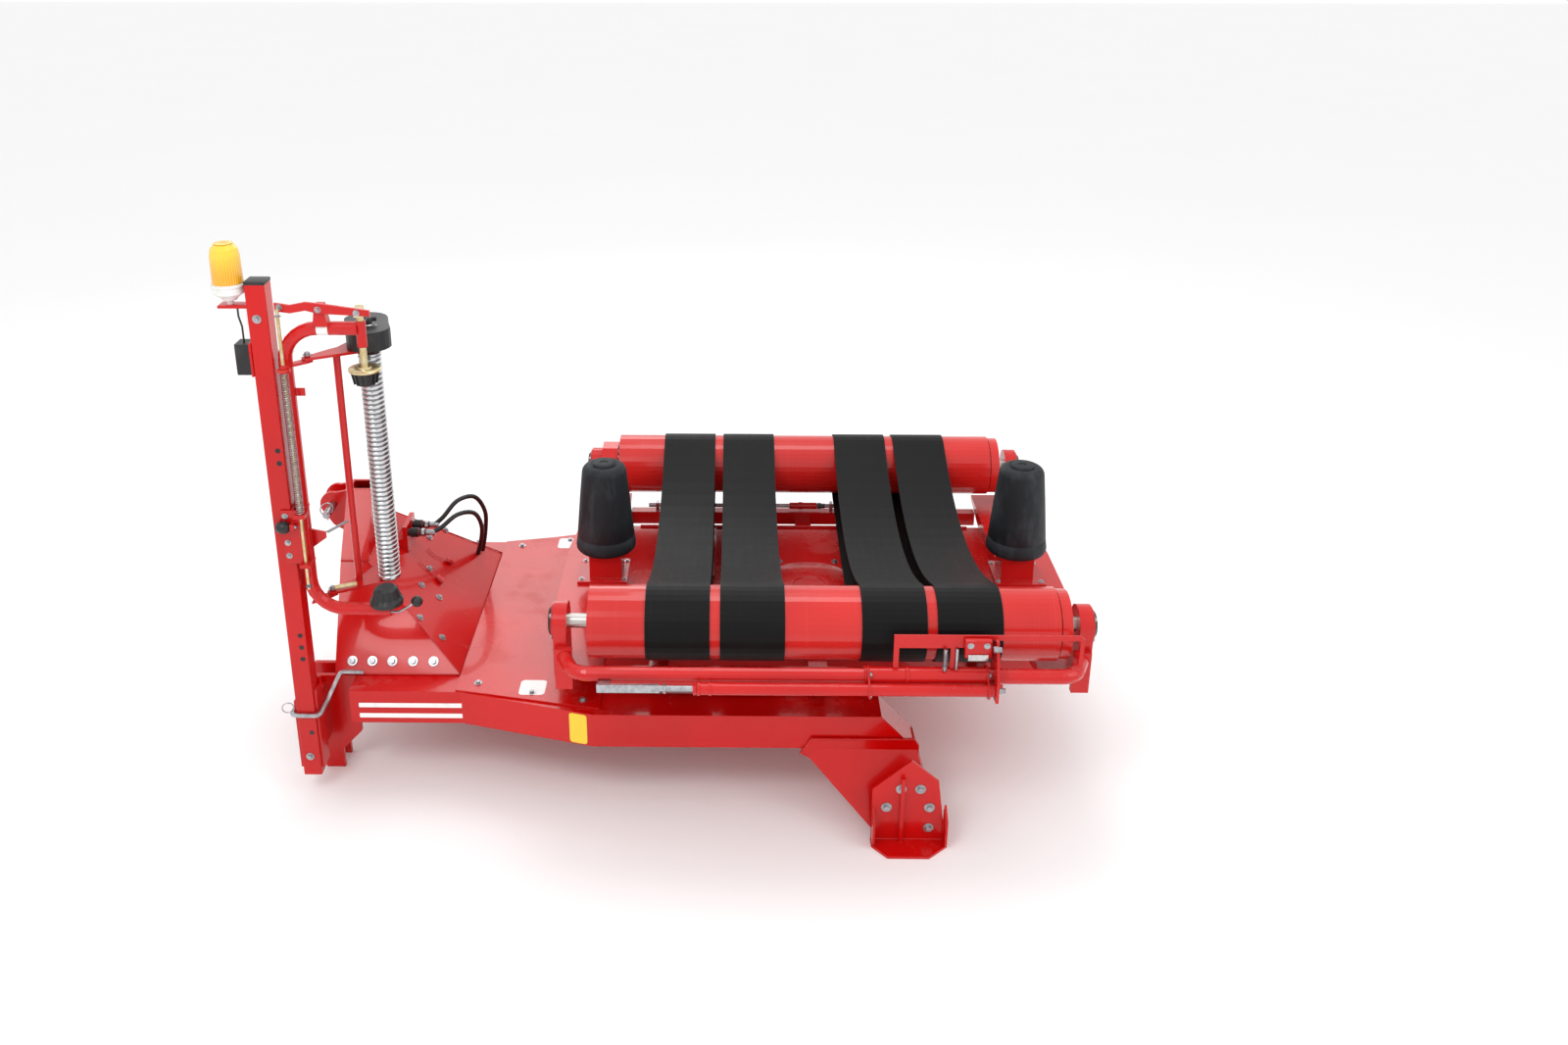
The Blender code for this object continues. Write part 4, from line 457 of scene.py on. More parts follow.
def turned(name, rings, place, way="+Z", sides=32, angle=40):
    """A round piece: its end face is extruded and scaled from one (radius, height) to the next."""
    deselect()
    (r0, z0), (r1, z1) = rings[:2]
    bpy.ops.mesh.primitive_cone_add(vertices=sides, radius1=r0, radius2=r1, depth=z1 - z0,
                                    location=(0, 0, (z0 + z1) / 2))
    piece = bpy.context.object
    piece.name = name
    bpy.ops.object.transform_apply(location=True, rotation=True, scale=True)
    bpy.ops.object.mode_set(mode="EDIT")
    bpy.ops.mesh.select_mode(type="FACE")
    selected_in_edit(piece, lambda face: face.calc_center_median().z > z1 - 1e-6)
    for (r_a, z_a), (r_b, z_b) in zip(rings[1:], rings[2:]):
        bpy.ops.mesh.extrude_region_move(TRANSFORM_OT_translate={"value": (0, 0, z_b - z_a)})
        share = r_b / r_a
        bpy.ops.transform.resize(value=(share, share, 1), center_override=(0, 0, z_b))
    bpy.ops.object.mode_set(mode="OBJECT")
    bpy.ops.object.shade_smooth_by_angle(angle=math.radians(angle))
    return settled(piece, place, TURNS[way])


def dressed(piece, finish, body):
    """Give a new piece its finish, its body and the record's material slot."""
    wear_finish(piece, finish)
    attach(piece, body)
    return piece


def joined(name, pieces):
    """Several meshes as one piece."""
    deselect()
    for piece in pieces:
        piece.select_set(True)
    bpy.context.view_layer.objects.active = pieces[0]
    if len(pieces) > 1:
        bpy.ops.object.join()
    pieces[0].name = name
    pieces[0].data.name = name
    return pieces[0]


CONE_BASE_RADIUS = 0.1025
CONE_TOP_RADIUS = 0.074
for side, word in ((-1, "left"), (1, "right")):
    name = f"cone_{word}"
    low, high = node_box(name)
    centre = (low + high) / 2
    height = high.z - low.z
    top = height - 0.004
    slope = (CONE_BASE_RADIUS - CONE_TOP_RADIUS) / top
    rings = [(CONE_BASE_RADIUS - 0.016, 0.0), (CONE_BASE_RADIUS - 0.006, 0.0035),
             (CONE_BASE_RADIUS - 0.001, 0.01), (CONE_BASE_RADIUS, 0.02)]
    rings += [(CONE_BASE_RADIUS - slope * z, z) for z in (0.05, 0.052, 0.0545, 0.057, 0.12, 0.2)]
    rings[5] = (rings[5][0] - 0.0015, rings[5][1])
    rings[6] = (rings[6][0] - 0.0015, rings[6][1])
    shoulder = CONE_TOP_RADIUS - 0.026
    for step in range(8):
        turn = math.radians(6 + 12 * step)
        rings.append((shoulder + 0.0275 * math.cos(turn), top - 0.03 + 0.0275 * math.sin(turn)))
    rings += [(0.046, top - 0.0015), (0.043, top - 0.004), (0.0395, top - 0.004), (0.038, top + 0.002),
              (0.036, top + 0.004), (0.015, top + 0.0035), (0.013, top + 0.001), (0.003, top + 0.001)]
    skin_piece = turned(f"{name}_moulding", rings, (centre.x, centre.y, low.z), sides=56, angle=50)
    dressed(skin_piece, cone_rubber, name)
    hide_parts(name)

# ---- bright hardware -------------------------------------------------
# Zinc-plated bars and bolts with a faint blue-grey spangle, yellow-passivated rods on the
# dispenser, and a turned steel blade.


def plating(name, first, second, roughness, scale=60.0):
    plate = Finish(name, first, roughness, metallic=1.0)
    rounded, edge = plate.worn_edges(0.0008)
    spangle = plate.noise(scale, 4.0, 0.6)
    stain = plate.noise(9.0, 6.0, 0.65)
    colour = plate.mix(spangle.ease(0.35, 0.65), first, second)
    dull = stain.ease(0.56, 0.76) * 0.45
    plate.set("Base Color", plate.mix(dull, colour, tuple(c * 0.62 for c in first)))
    plate.set("Roughness", roughness - 0.05 + spangle * 0.12 + dull * 0.35)
    plate.bump(spangle + plate.noise(700.0, 2.0) * 0.4, 0.0002, 0.5, rounded)
    return plate


zinc = plating("zinc_plate", (0.34, 0.35, 0.37), (0.5, 0.51, 0.53), 0.3)
yellow_zinc = plating("yellow_passivate", (0.62, 0.47, 0.2), (0.74, 0.66, 0.44), 0.28, 38.0)
steel = plating("turned_steel", (0.52, 0.51, 0.5), (0.66, 0.65, 0.63), 0.22, 80.0)
for name in ("mast_lock_rod", "brake_rod", "cutter_rod"):
    wear_finish(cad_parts[name], zinc)
for name in ("film_spindle", "pull_rod"):
    wear_finish(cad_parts[name], yellow_zinc)


def bolt_shape(name, across):
    """A hexagon bolt head on its washer, standing on z = 0."""
    rings = [(across * 0.95, 0.0), (across * 0.95, across * 0.12), (across * 0.58, across * 0.13)]
    disc = turned(f"{name}_washer", rings, (0, 0, 0), sides=20)
    r = across / math.sqrt(3)
    low = across * 0.1
    head = turned(f"{name}_head", [(r, low), (r, low + across * 0.44), (r * 0.93, low + across * 0.53),
                                   (r * 0.3, low + across * 0.54), (r * 0.24, low + across * 0.47)],
                  (0, 0, 0), sides=6, angle=20)
    return joined(name, [disc, head])


def copies(name, original, places):
    """Copies of one shape, each turned and set in its place, as one piece."""
    made = []
    for place, turn in places:
        twin = original.copy()
        twin.data = original.data.copy()
        bpy.context.collection.objects.link(twin)
        rotation = TURNS[turn] if isinstance(turn, str) else turn
        twin.data.transform(Matrix.Translation(place) @ rotation)
        made.append(twin)
    return joined(name, made)


def bolted(name, bolt, places, body="chassis"):
    """Zinc-plated copies of a bolt, as one piece on a body."""
    return dressed(copies(name, bolt, places), zinc, body)


def tilted(normal):
    """The turn that brings +Z to a direction."""
    return Vector(normal).to_track_quat("Z", "Y").to_matrix().to_4x4()


big_bolt = bolt_shape("bolt_m16", 0.017)
small_bolt = bolt_shape("bolt_m10", 0.0135)
tiny_bolt = bolt_shape("bolt_m6", 0.01)

# ---- black mouldings, lamps ------------------------------------------
# Injection-moulded black plastic, a white lamp base and an amber lens with moulded ribs, whose colour
# carries painted light: darker at its bottom and lighter at its top.
black_plastic = Finish("black_moulding", (0.013, 0.013, 0.014), 0.4, specular=0.5)
grain = black_plastic.noise(380.0, 2.0)
haze = black_plastic.noise(12.0, 5.0, 0.6)
black_plastic.set("Base Color", black_plastic.mix(haze.ease(0.5, 0.75) * 0.6, (0.01, 0.01, 0.011),
                                                  (0.04, 0.04, 0.042)))
black_plastic.set("Roughness", 0.32 + haze * 0.2)
rounded, edge = black_plastic.worn_edges(0.0012)
black_plastic.bump(grain, 0.00025, 0.5, rounded)
for name in ("slew_ring", "gear_cover", "marker_lamp", "lower_cone", "upper_cone"):
    wear_finish(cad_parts[name], black_plastic)
white_plastic = Finish("white_moulding", (0.8, 0.8, 0.78), 0.36, specular=0.5)
yellowing = white_plastic.noise(18.0, 5.0, 0.6)
white_plastic.set("Base Color", white_plastic.mix(yellowing.ease(0.45, 0.75), (0.83, 0.83, 0.82),
                                                  (0.7, 0.69, 0.64)))
white_plastic.set("Roughness", 0.3 + yellowing * 0.2)
rounded, edge = white_plastic.worn_edges(0.0012)
white_plastic.bump(white_plastic.noise(300.0, 2.0), 0.0002, 0.4, rounded)
wear_finish(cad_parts["beacon_base"], white_plastic)
amber = Finish("amber_lens", (0.95, 0.48, 0.01), 0.1, coat=0.5)
beacon_low, beacon_high = node_box("beacon_lens")
beacon_middle = (beacon_low + beacon_high) / 2
lamp_x = amber.part("X") - beacon_middle.x
lamp_y = amber.part("Y") - beacon_middle.y
around = amber.node("ShaderNodeMath", {"operation": "ARCTAN2"}, {0: lamp_y, 1: lamp_x})
ribs = (around * 36.0).sine()
# Painted light: the lens is coloured darker at its bottom and lighter at its top.
rise = (amber.part("Z") - beacon_low.z) / (beacon_high.z - beacon_low.z)
lens_painted_light_colour = amber.mix(rise.ease(0.15, 0.85), (0.9, 0.36, 0.004), (1.0, 0.62, 0.03))
amber.set("Base Color", amber.mix(ribs.ease(-0.2, 1.0) * 0.45, lens_painted_light_colour, (1.0, 0.74, 0.1)))
amber.set("Roughness", 0.08 + amber.noise(30.0, 3.0) * 0.1)
amber.bump(ribs, 0.0009, 0.7)
wear_finish(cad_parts["beacon_lens"], amber)

# ---- headstock cover, tower and deck fittings ------------------------
# The folded cover is bolted down along its skirt and carries the hose holder; the tower is
# welded on top and takes the top link's pin.  The deck sheet is screwed to the beams.
RIGHT_SLOPE = (0.654, 0.0, 0.756)
DECK_TOP = node_box("deck_cover")[1].z
skirt = [(at(x, side * 0.3906, 0.3846), tilted((0, side * 0.781, 0.624)))
         for side in (-1, 1) for x in (-1.5, -1.435, -1.37, -1.303, -1.236)]
bolted("cover_skirt_bolts", big_bolt, skirt)
PANEL_BOLTS = ((-1.33, 0.297), (-1.363, 0.184), (-1.327, 0.006), (-1.328, -0.112), (-1.272, -0.109),
               (-1.225, 0.374), (-1.298, -0.281), (-1.225, -0.3))
panel = [(at(x, y, cover_height(x) + 0.0008), tilted(RIGHT_SLOPE)) for x, y in PANEL_BOLTS]
bolted("cover_panel_bolts", small_bolt, panel)
deck = [(at(x, side * y, DECK_TOP), "+Z") for side in (-1, 1)
        for x, y in ((-1.079, 0.47), (-0.9, 0.52), (-0.735, 0.56))]
deck += [(at(-0.705, y, DECK_TOP), "+Z") for y in (-0.3, 0.0, 0.3)]
bolted("deck_bolts", small_bolt, deck)


def block(name, low, high, edge=0.0015, segments=2):
    """A cube at its size and place, with its edges rounded."""
    deselect()
    low, high = Vector(low), Vector(high)
    bpy.ops.mesh.primitive_cube_add(size=1, location=(low + high) / 2, scale=high - low)
    piece = bpy.context.object
    piece.name = name
    bpy.ops.object.transform_apply(location=True, rotation=True, scale=True)
    if edge:
        bevel = piece.modifiers.new("edges", "BEVEL")
        bevel.width = min(edge, min(high - low) * 0.45)
        bevel.segments = segments
        bpy.ops.object.modifier_apply(modifier="edges")
        bpy.ops.object.shade_smooth_by_angle(angle=math.radians(40))
    return piece


def bar(name, points, radius, resolution=4):
    return as_solid(path_curve(name, [Vector(p) for p in points], radius, resolution))


def weld_bead(name, start, end, radius=0.0035, ripple=0.0065):
    """A stacked weld: a bar whose thickness pulses along its run."""
    start, end = Vector(start), Vector(end)
    steps = max(6, int((end - start).length / ripple) * 2)
    points = [start.lerp(end, i / steps) for i in range(steps + 1)]
    curve = path_curve(name, points, radius, 2)
    for i, point in enumerate(curve.data.splines[0].points):
        point.radius = 1.0 if i % 2 else 0.8
    return as_solid(curve)


def sheet_label(name, centre, along, up, size, thickness=0.0006):
    """A blank sticker with rounded corners, lying on a surface."""
    deselect()
    along, up = Vector(along).normalized(), Vector(up).normalized()
    bpy.ops.mesh.primitive_cube_add(size=1, scale=(size[0], size[1], thickness))
    piece = bpy.context.object
    piece.name = name
    bpy.ops.object.transform_apply(location=True, rotation=True, scale=True)
    bpy.ops.object.mode_set(mode="EDIT")
    bpy.ops.mesh.select_mode(type="EDGE")
    mesh = bmesh.from_edit_mesh(piece.data)
    for edge in mesh.edges:
        a, b = (v.co for v in edge.verts)
        edge.select_set(abs(a.x - b.x) < 1e-6 and abs(a.y - b.y) < 1e-6)
    bmesh.update_edit_mesh(piece.data)
    bpy.ops.mesh.bevel(offset=min(size) * 0.16, segments=4)
    bpy.ops.object.mode_set(mode="OBJECT")
    out = along.cross(up)
    turn = Matrix((along, up, out)).transposed().to_4x4()
    return settled(piece, Vector(centre) + out * (thickness / 2 + 0.0002), turn)


# Beads where the tower stands on the cover and where the cover's panels meet.
TOWER_FOOT = 0.6405
beads = [weld_bead("bead", at(-1.4795, -0.183, TOWER_FOOT), at(-1.4795, 0.183, TOWER_FOOT))]
beads += [weld_bead("bead", at(-1.57, y, TOWER_FOOT), at(-1.484, y, TOWER_FOOT)) for y in (-0.187, 0.187)]
for side in (-1, 1):
    beads += [weld_bead("bead", at(-1.1475, side * 0.416, 0.3545), at(-1.4815, side * 0.186, 0.639), 0.0022),
              weld_bead("bead", at(-1.545, side * 0.418, 0.3535), at(-1.15, side * 0.418, 0.3535), 0.0025)]
dressed(joined("headstock_welds", beads), chassis_enamel, "chassis")

# Couplings on the hose ends: a knurled sleeve, a hexagon and a crimped ferrule on each hose.
for word, plug_y in (("supply", 0.04), ("return", 0.1)):
    nose = at(PLUG_FACE - 0.0004, plug_y, PLUG_HEIGHT)
    sleeve = [(0.0105, 0.0), (0.0125, 0.0015), (0.0125, 0.0225)]
    for groove in range(7):
        z = 0.0235 + groove * 0.0038
        sleeve += [(0.017, z), (0.017, z + 0.002), (0.0162, z + 0.0024), (0.0162, z + 0.0034)]
    sleeve += [(0.0158, 0.0515), (0.0125, 0.053), (0.0125, 0.069), (0.0115, 0.0752)]
    dressed(turned(f"{word}_coupling", sleeve, nose, "+X", 24), black_plastic, "chassis")
    hexagon = turned("hexagon", [(0.013, 0), (0.0145, 0.0012), (0.0145, 0.0115), (0.013, 0.0127)],
                     nose + Vector((0.06, 0, 0)), "+X", 6, 20)
    ferrule = turned("ferrule", [(0.0095, 0), (0.011, 0.001), (0.011, 0.012), (0.0098, 0.013),
                                 (0.0098, 0.018), (0.011, 0.019), (0.011, 0.03), (0.0092, 0.032)],
                     nose + Vector((PLUG_LENGTH + 0.001, 0, 0)), "+X", 20)
    dressed(joined(f"{word}_ferrule", [hexagon, ferrule]), zinc, "chassis")

# Spare dust caps of the couplings, hung on their straps beside the panel bolts.
cap_red = Finish("dust_cap_rubber", (0.62, 0.045, 0.05), 0.45)
dusty = cap_red.noise(60.0, 4.0)
cap_red.set("Base Color", cap_red.mix(dusty.ease(0.45, 0.75), (0.6, 0.035, 0.04), (0.7, 0.16, 0.15)))
cap_red.set("Roughness", 0.38 + dusty * 0.2)
cap_red.bump(dusty, 0.0004, 0.5)
caps = []
for x, y, turn in ((-1.297, 0.112, 0.5), (-1.302, -0.017, -0.3)):
    foot = at(x, y, cover_height(x)) + Vector(RIGHT_SLOPE) * 0.0095
    side = Vector((math.cos(turn) * 0.756, math.sin(turn), -math.cos(turn) * 0.654)).normalized()
    cap = turned("cap", [(0.0085, 0), (0.0092, 0.002), (0.0092, 0.022), (0.0075, 0.024),
                         (0.0075, 0.028), (0.0088, 0.03)], foot, "+Z", 18)
    cap.data.transform(Matrix.Translation(foot) @ tilted(side) @ Matrix.Translation(-foot))
    strap_end = foot - side * 0.03 + Vector((-0.02, 0.0, 0.012))
    strap = bar("strap", smooth_route([foot, foot - side * 0.015 - Vector(RIGHT_SLOPE) * 0.004,
                                       strap_end, strap_end + Vector((-0.02, 0.012, 0.018))], 4), 0.0016, 2)
    caps += [cap, strap]
dressed(joined("dust_caps", caps), cap_red, "chassis")

# The top link's pin: a bright sleeve with a collar at one end and a ringed linch pin.
clevis_low, clevis_high = node_box("top_link_clevis")
PIN = at(-1.624, 0, 0.775)
pin_out = [(0.011, 0.0), (0.0132, 0.0015), (0.0132, 0.0845)]
pin_left = turned("pin_end", pin_out, (PIN.x, clevis_low.y - 0.0004, PIN.z), "+Y", 28)
pin_right = turned("pin_end", [(0.0132, 0), (0.0132, 0.01), (0.011, 0.0118)],
                   (PIN.x, clevis_high.y - 0.0115, PIN.z), "+Y", 28)


def wire_ring(name, radius, wire, place, tilt):
    """A ring of round wire."""
    deselect()
    bpy.ops.mesh.primitive_torus_add(major_radius=radius, minor_radius=wire, major_segments=28,
                                     minor_segments=8, location=place, rotation=tilt)
    ring = bpy.context.object
    ring.name = name
    bpy.ops.object.transform_apply(location=True, rotation=True, scale=True)
    ring.data.shade_smooth()
    return ring


pull_y = clevis_low.y + 0.012
ring = wire_ring("pull_ring", 0.021, 0.0022, (PIN.x, pull_y, PIN.z + 0.018), (math.pi / 2, 0, 0.5))
cross_pin = bar("cross", [(PIN.x, pull_y, PIN.z - 0.022), (PIN.x, pull_y, PIN.z + 0.02)], 0.0032, 3)
dressed(joined("top_link_pin", [pin_left, pin_right, ring, cross_pin]), zinc, "chassis")


def sticker(name, plain, clean, stained):
    """Coated vinyl with a little dirt on it."""
    vinyl = Finish(name, plain, 0.35, coat=0.3)
    dirt = vinyl.noise(24.0, 6.0, 0.65)
    vinyl.set("Base Color", vinyl.mix(dirt.ease(0.52, 0.78) * 0.5, clean, stained))
    vinyl.set("Roughness", 0.28 + dirt * 0.2)
    vinyl.bump(vinyl.noise(90.0, 2.0), 0.0002, 0.3)
    return vinyl


# Blank stickers: two white ones on the deck, a yellow one and a plain double stripe on the beam.
white_sticker = sticker("white_sticker", (0.86, 0.86, 0.85), (0.88, 0.88, 0.87), (0.62, 0.56, 0.52))
yellow_sticker = sticker("yellow_sticker", (0.86, 0.58, 0.02), (0.88, 0.6, 0.02), (0.55, 0.36, 0.05))
labels = []
for side in (-1, 1):
    labels.append(sheet_label("label", at(-0.901, side * 0.493, DECK_TOP), (1, 0, 0), (0, 1, 0),
                              (0.082, 0.082)))
for z in (0.3, 0.262):
    labels.append(sheet_label("label", at(-1.29, -0.512, z), (1, 0, 0), (0, 0, 1), (0.33, 0.016)))
dressed(joined("white_labels", labels), white_sticker, "chassis")
JOG = (0.43, -0.118, 0.0)      # along the beam's face where it steps outwards
label = sheet_label("yellow_label", at(-0.745, -0.6182, 0.2925), JOG, (0, 0, 1), (0.058, 0.106))
dressed(label, yellow_sticker, "chassis")

# ---- legs and feet ---------------------------------------------------
# Welded legs with bolted channel feet: five bolts in each web, and beads along the flange and the
# channel's edges.
feet_bolts, feet_beads = [], []
for side in (-1, 1):
    way = "-Y" if side < 0 else "+Y"
    face = side * 0.7686
    feet_bolts += [(at(x, face, z), way) for x, z in ((0.242, 0.192), (0.2, 0.126), (0.33, 0.126),
                                                      (0.33, 0.052), (0.3, 0.192))]
    y = side * 0.6385
    feet_beads.append(weld_bead("bead", at(-0.024, y, 0.2745), at(0.296, y, 0.2745), 0.004, 0.008))
    y = side * 0.769
    feet_beads.append(weld_bead("bead", at(0.157, y, 0.0095), at(0.383, y, 0.0095), 0.0028))
    for x in (0.165, 0.375):
        feet_beads.append(weld_bead("bead", at(x, side * 0.77, 0.012), at(x, side * 0.77, 0.12), 0.0024))
bolted("foot_bolts", big_bolt, feet_bolts)
dressed(joined("leg_welds", feet_beads), chassis_enamel, "chassis")

# ---- mast, beacon and marker lamp ------------------------------------
# A square post with a black end cap, adjusting holes drawn as thin black discs of painted shade, and a
# bolted bracket for the beacon, whose cable drops to the marker lamp on its red plate.
mast_low, mast_high = node_box("mast")
cap = block("mast_cap", (mast_low.x - 0.0008, mast_low.y - 0.0008, mast_high.z - 0.004),
            (mast_high.x + 0.0008, mast_high.y + 0.0008, mast_high.z + 0.007), 0.003, 3)
dressed(cap, black_plastic, "chassis")
mast_x = (mast_low.x + mast_high.x) / 2
mast_front = mast_low.y
post_bolts = [(Vector((mast_x - 0.002, mast_front, z)), "-Y") for z in (1.603, 0.143)]
post_bolts += [(Vector((mast_x, mast_high.y, z)), "+Y") for z in (1.603, 0.143)]
bolted("mast_bolts", small_bolt, post_bolts)
# Painted shade: each adjusting hole is a thin black disc on the post's face, standing in for the shade
# inside it.
hole_shade_discs = [turned("hole_shade_disc", [(0.0078, 0), (0.0078, 0.0006), (0.0062, 0.0007), (0.006, 0.0004)],
                (mast_x + 0.012, mast_front, z), "-Y", 20) for z in (0.583, 0.541, 0.5, 0.232, 1.2, 1.16)]
dressed(joined("mast_hole_shade_discs", hole_shade_discs), black_plastic, "chassis")
lamp_low, lamp_high = node_box("marker_lamp")
plate_x = mast_low.x - 0.0063
lamp_plate = block("lamp_plate", (plate_x - 0.0004, mast_low.y - 0.0016, lamp_high.z - 0.1006),
                   (plate_x + 0.0064, mast_high.y + 0.0016, lamp_high.z + 0.0006), 0.001)
dressed(lamp_plate, chassis_enamel, "chassis")
red_lens = Finish("red_lens", (0.55, 0.006, 0.006), 0.12, coat=0.5)
prism = (red_lens.part("Y") * 1500.0).sine() * (red_lens.part("Z") * 1500.0).sine()
red_lens.set("Base Color", red_lens.mix(prism.ease(-0.3, 0.8), (0.36, 0.002, 0.003), (0.72, 0.02, 0.02)))
red_lens.set("Roughness", 0.1 + prism * 0.04)
red_lens.bump(prism, 0.0006, 0.6)
lens = block("marker_lens", (lamp_low.x - 0.0032, lamp_low.y + 0.01, lamp_low.z + 0.008),
             (lamp_low.x + 0.001, lamp_high.y - 0.012, lamp_high.z - 0.012), 0.0012, 3)
dressed(lens, red_lens, "chassis")
beacon_x, beacon_y = beacon_middle.x, beacon_middle.y
seam = turned("beacon_band", [(0.0455, 0), (0.0475, 0.0012), (0.0475, 0.0065), (0.0455, 0.0078)],
              (beacon_x, beacon_y, beacon_low.z - 0.01), sides=48)
dressed(seam, white_plastic, "chassis")
crown = turned("beacon_crown", [(0.0262, -0.0005), (0.0262, 0.0008), (0.024, 0.0018), (0.01, 0.002),
                                (0.0085, 0.0012), (0.003, 0.0012)],
               (beacon_x, beacon_y, beacon_high.z), sides=40)
dressed(crown, amber, "chassis")
arm = block("beacon_arm", (beacon_x - 0.0306, mast_low.y + 0.0064, beacon_low.z - 0.0712),
            (mast_low.x - 0.0002, mast_high.y - 0.0064, beacon_low.z - 0.0632), 0.001)
dressed(arm, chassis_enamel, "chassis")
arm_bolt = [(Vector((mast_low.x - 0.0062, (mast_low.y + mast_high.y) / 2, beacon_low.z - 0.095)), "-X")]
bolted("beacon_bolt", tiny_bolt, arm_bolt)
wear_finish(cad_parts["beacon_cable"], hose_rubber)

# Lock rod's linch pin ring.
lock_end = node_box("mast_lock_rod")[0].x + 0.004
linch = wire_ring("linch_ring", 0.017, 0.0018, (lock_end, -0.582, 0.335), (math.pi / 2, 0.2, 0.3))
dressed(linch, zinc, "chassis")

# ---- film dispenser --------------------------------------------------
# A C-shaped tube frame on the mast.  A lever presses the upper cone on the film's core against
# the pull rod's coil spring; two ribbed aluminium rollers geared together stretch the film.
spring_low, spring_high = node_box("release_spring")
SPRING_WIRE = 0.0015


def coil(name, start, end, radius, wire, pitch, ends=0.0, per_turn=14):
    """A coil spring between two places, drawn along its helix."""
    start, end = Vector(start), Vector(end)
    length = (end - start).length
    turns = int((length - 2 * ends) / pitch)
    steps = turns * per_turn
    points = [Vector((0, 0, 0))] if ends else []
    for i in range(steps + 1):
        turn = math.tau * i / per_turn
        points.append(Vector((radius * math.cos(turn), radius * math.sin(turn),
                              ends + (length - 2 * ends) * i / steps)))
    if ends:
        points.append(Vector((0, 0, length)))
    piece = as_solid(path_curve(name, points, wire, 1))
    return settled(piece, start, tilted(end - start))


spring_x = (spring_low.x + spring_high.x) / 2
spring_y = (spring_low.y + spring_high.y) / 2
release = coil("release_coil", (spring_x, spring_y, spring_low.z + SPRING_WIRE),
               (spring_x, spring_y, spring_high.z - SPRING_WIRE), 0.0104, SPRING_WIRE, 0.007)
dressed(release, zinc, "dispenser")
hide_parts("release_spring")
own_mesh(release)
lug = at(-1.501, -0.536, 0.915)
upright = at(-1.44, -0.425, 0.915)
along = (upright - lug).normalized()
tension = coil("tension_coil", lug + along * 0.0085, upright - along * 0.013, 0.0037, 0.0008, 0.0022,
               ends=0.01, per_turn=10)
dressed(tension, zinc, "tension_spring")
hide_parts("tension_spring")

# The rollers: extruded sleeves with a rounded ridge every 15 mm and plain ends, with painted shade darkening
# the grooves between the ridges.
slow_low, slow_high = node_box("roller_slow")
roller_radius = (slow_high.x - slow_low.x) / 2
roller_length = slow_high.z - slow_low.z
ridge_count = int((roller_length - 0.03) / 0.015)
ridge_pitch = (roller_length - 0.03) / ridge_count
ridged = Finish("ridged_aluminium", (0.62, 0.63, 0.64), 0.22, metallic=1.0)
film_haze = ridged.noise(30.0, 5.0, 0.62)
ridge_turns = (ridged.part("Z") - (slow_low.z + 0.015)) * (math.tau / ridge_pitch)
# Painted shade: the grooves between the ridges are darkened in colour.
groove_mask_painted_shade = ridge_turns.sine().ease(0.15, 0.85)
bright = ridged.mix(film_haze.ease(0.45, 0.72), (0.72, 0.73, 0.74), (0.52, 0.53, 0.55))
ridged.set("Base Color", ridged.mix(groove_mask_painted_shade * 0.85, bright, (0.13, 0.13, 0.14)))
ridged.set("Roughness", 0.18 + film_haze * 0.16 + groove_mask_painted_shade * 0.14)
ridged.bump(film_haze, 0.0003, 0.4)
RIDGE = ((0.003, 0.12), (0.003, 0.4), (0.0004, 0.58), (0.0, 0.74), (0.0006, 0.94))
rings = [(roller_radius - 0.004, 0.0), (roller_radius, 0.004), (roller_radius, 0.013)]
for number in range(ridge_count):
    z = 0.015 + number * ridge_pitch
    rings += [(roller_radius - sunk, z + ridge_pitch * share) for sunk, share in RIDGE]
rings += [(roller_radius, roller_length - 0.004), (roller_radius - 0.004, roller_length)]
for name in ("roller_slow", "roller_fast"):
    low, high = node_box(name)
    centre = (low + high) / 2
    sleeve = turned(f"{name}_sleeve", rings, (centre.x, centre.y, low.z), sides=36, angle=30)
    dressed(sleeve, ridged, name)
    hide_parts(name)

# On the gear cover: a wing knob over a white washer, and three screws.
gear_low, gear_high = node_box("gear_cover")
gear_top = gear_high.z - 0.014
knob = at(-1.352, -0.3725, 0)
washer = turned("knob_washer", [(0.017, 0), (0.0175, 0.0008), (0.0175, 0.0026), (0.0165, 0.0032)],
                (knob.x, knob.y, gear_top), sides=28)
dressed(washer, white_plastic, "swing_arm")
stem = turned("stem", [(0.0128, 0.0), (0.0128, 0.012), (0.011, 0.018), (0.0085, 0.02)],
              (knob.x, knob.y, gear_top + 0.003), sides=24)
wings = []
for step in range(3):
    wing = block("wing", (0.004, -0.0045, 0.006), (0.025, 0.0045, 0.0195), 0.0035, 3)
    turn = Matrix.Rotation(step * math.tau / 3 + 0.4, 4, "Z")
    wings.append(settled(wing, (knob.x, knob.y, gear_top + 0.003), turn))
dressed(joined("wing_knob", [stem] + wings), black_plastic, "swing_arm")
gear_places = [(Vector((gear_low.x + 0.056 + dx, gear_low.y + dy, gear_top)), "+Z")
               for dx, dy in ((0.03, 0.022), (-0.004, 0.17), (0.052, 0.08))]
bolted("gear_cover_screws", tiny_bolt, gear_places, "swing_arm")

# Hinge nuts on the swinging frame.
hinge = [(at(-1.505, -0.49, z), "+Z") for z in (1.4712, 0.7062)]
bolted("swing_hinge_nuts", small_bolt, hinge, "dispenser")

# The swinging frame's lower bar is passivated, not painted.
yellow_bar = bar("swing_lower_bar", [at(-1.497, -0.4955, 0.712), at(-1.435, -0.47, 0.7125)], 0.007)
dressed(yellow_bar, yellow_zinc, "swing_arm")

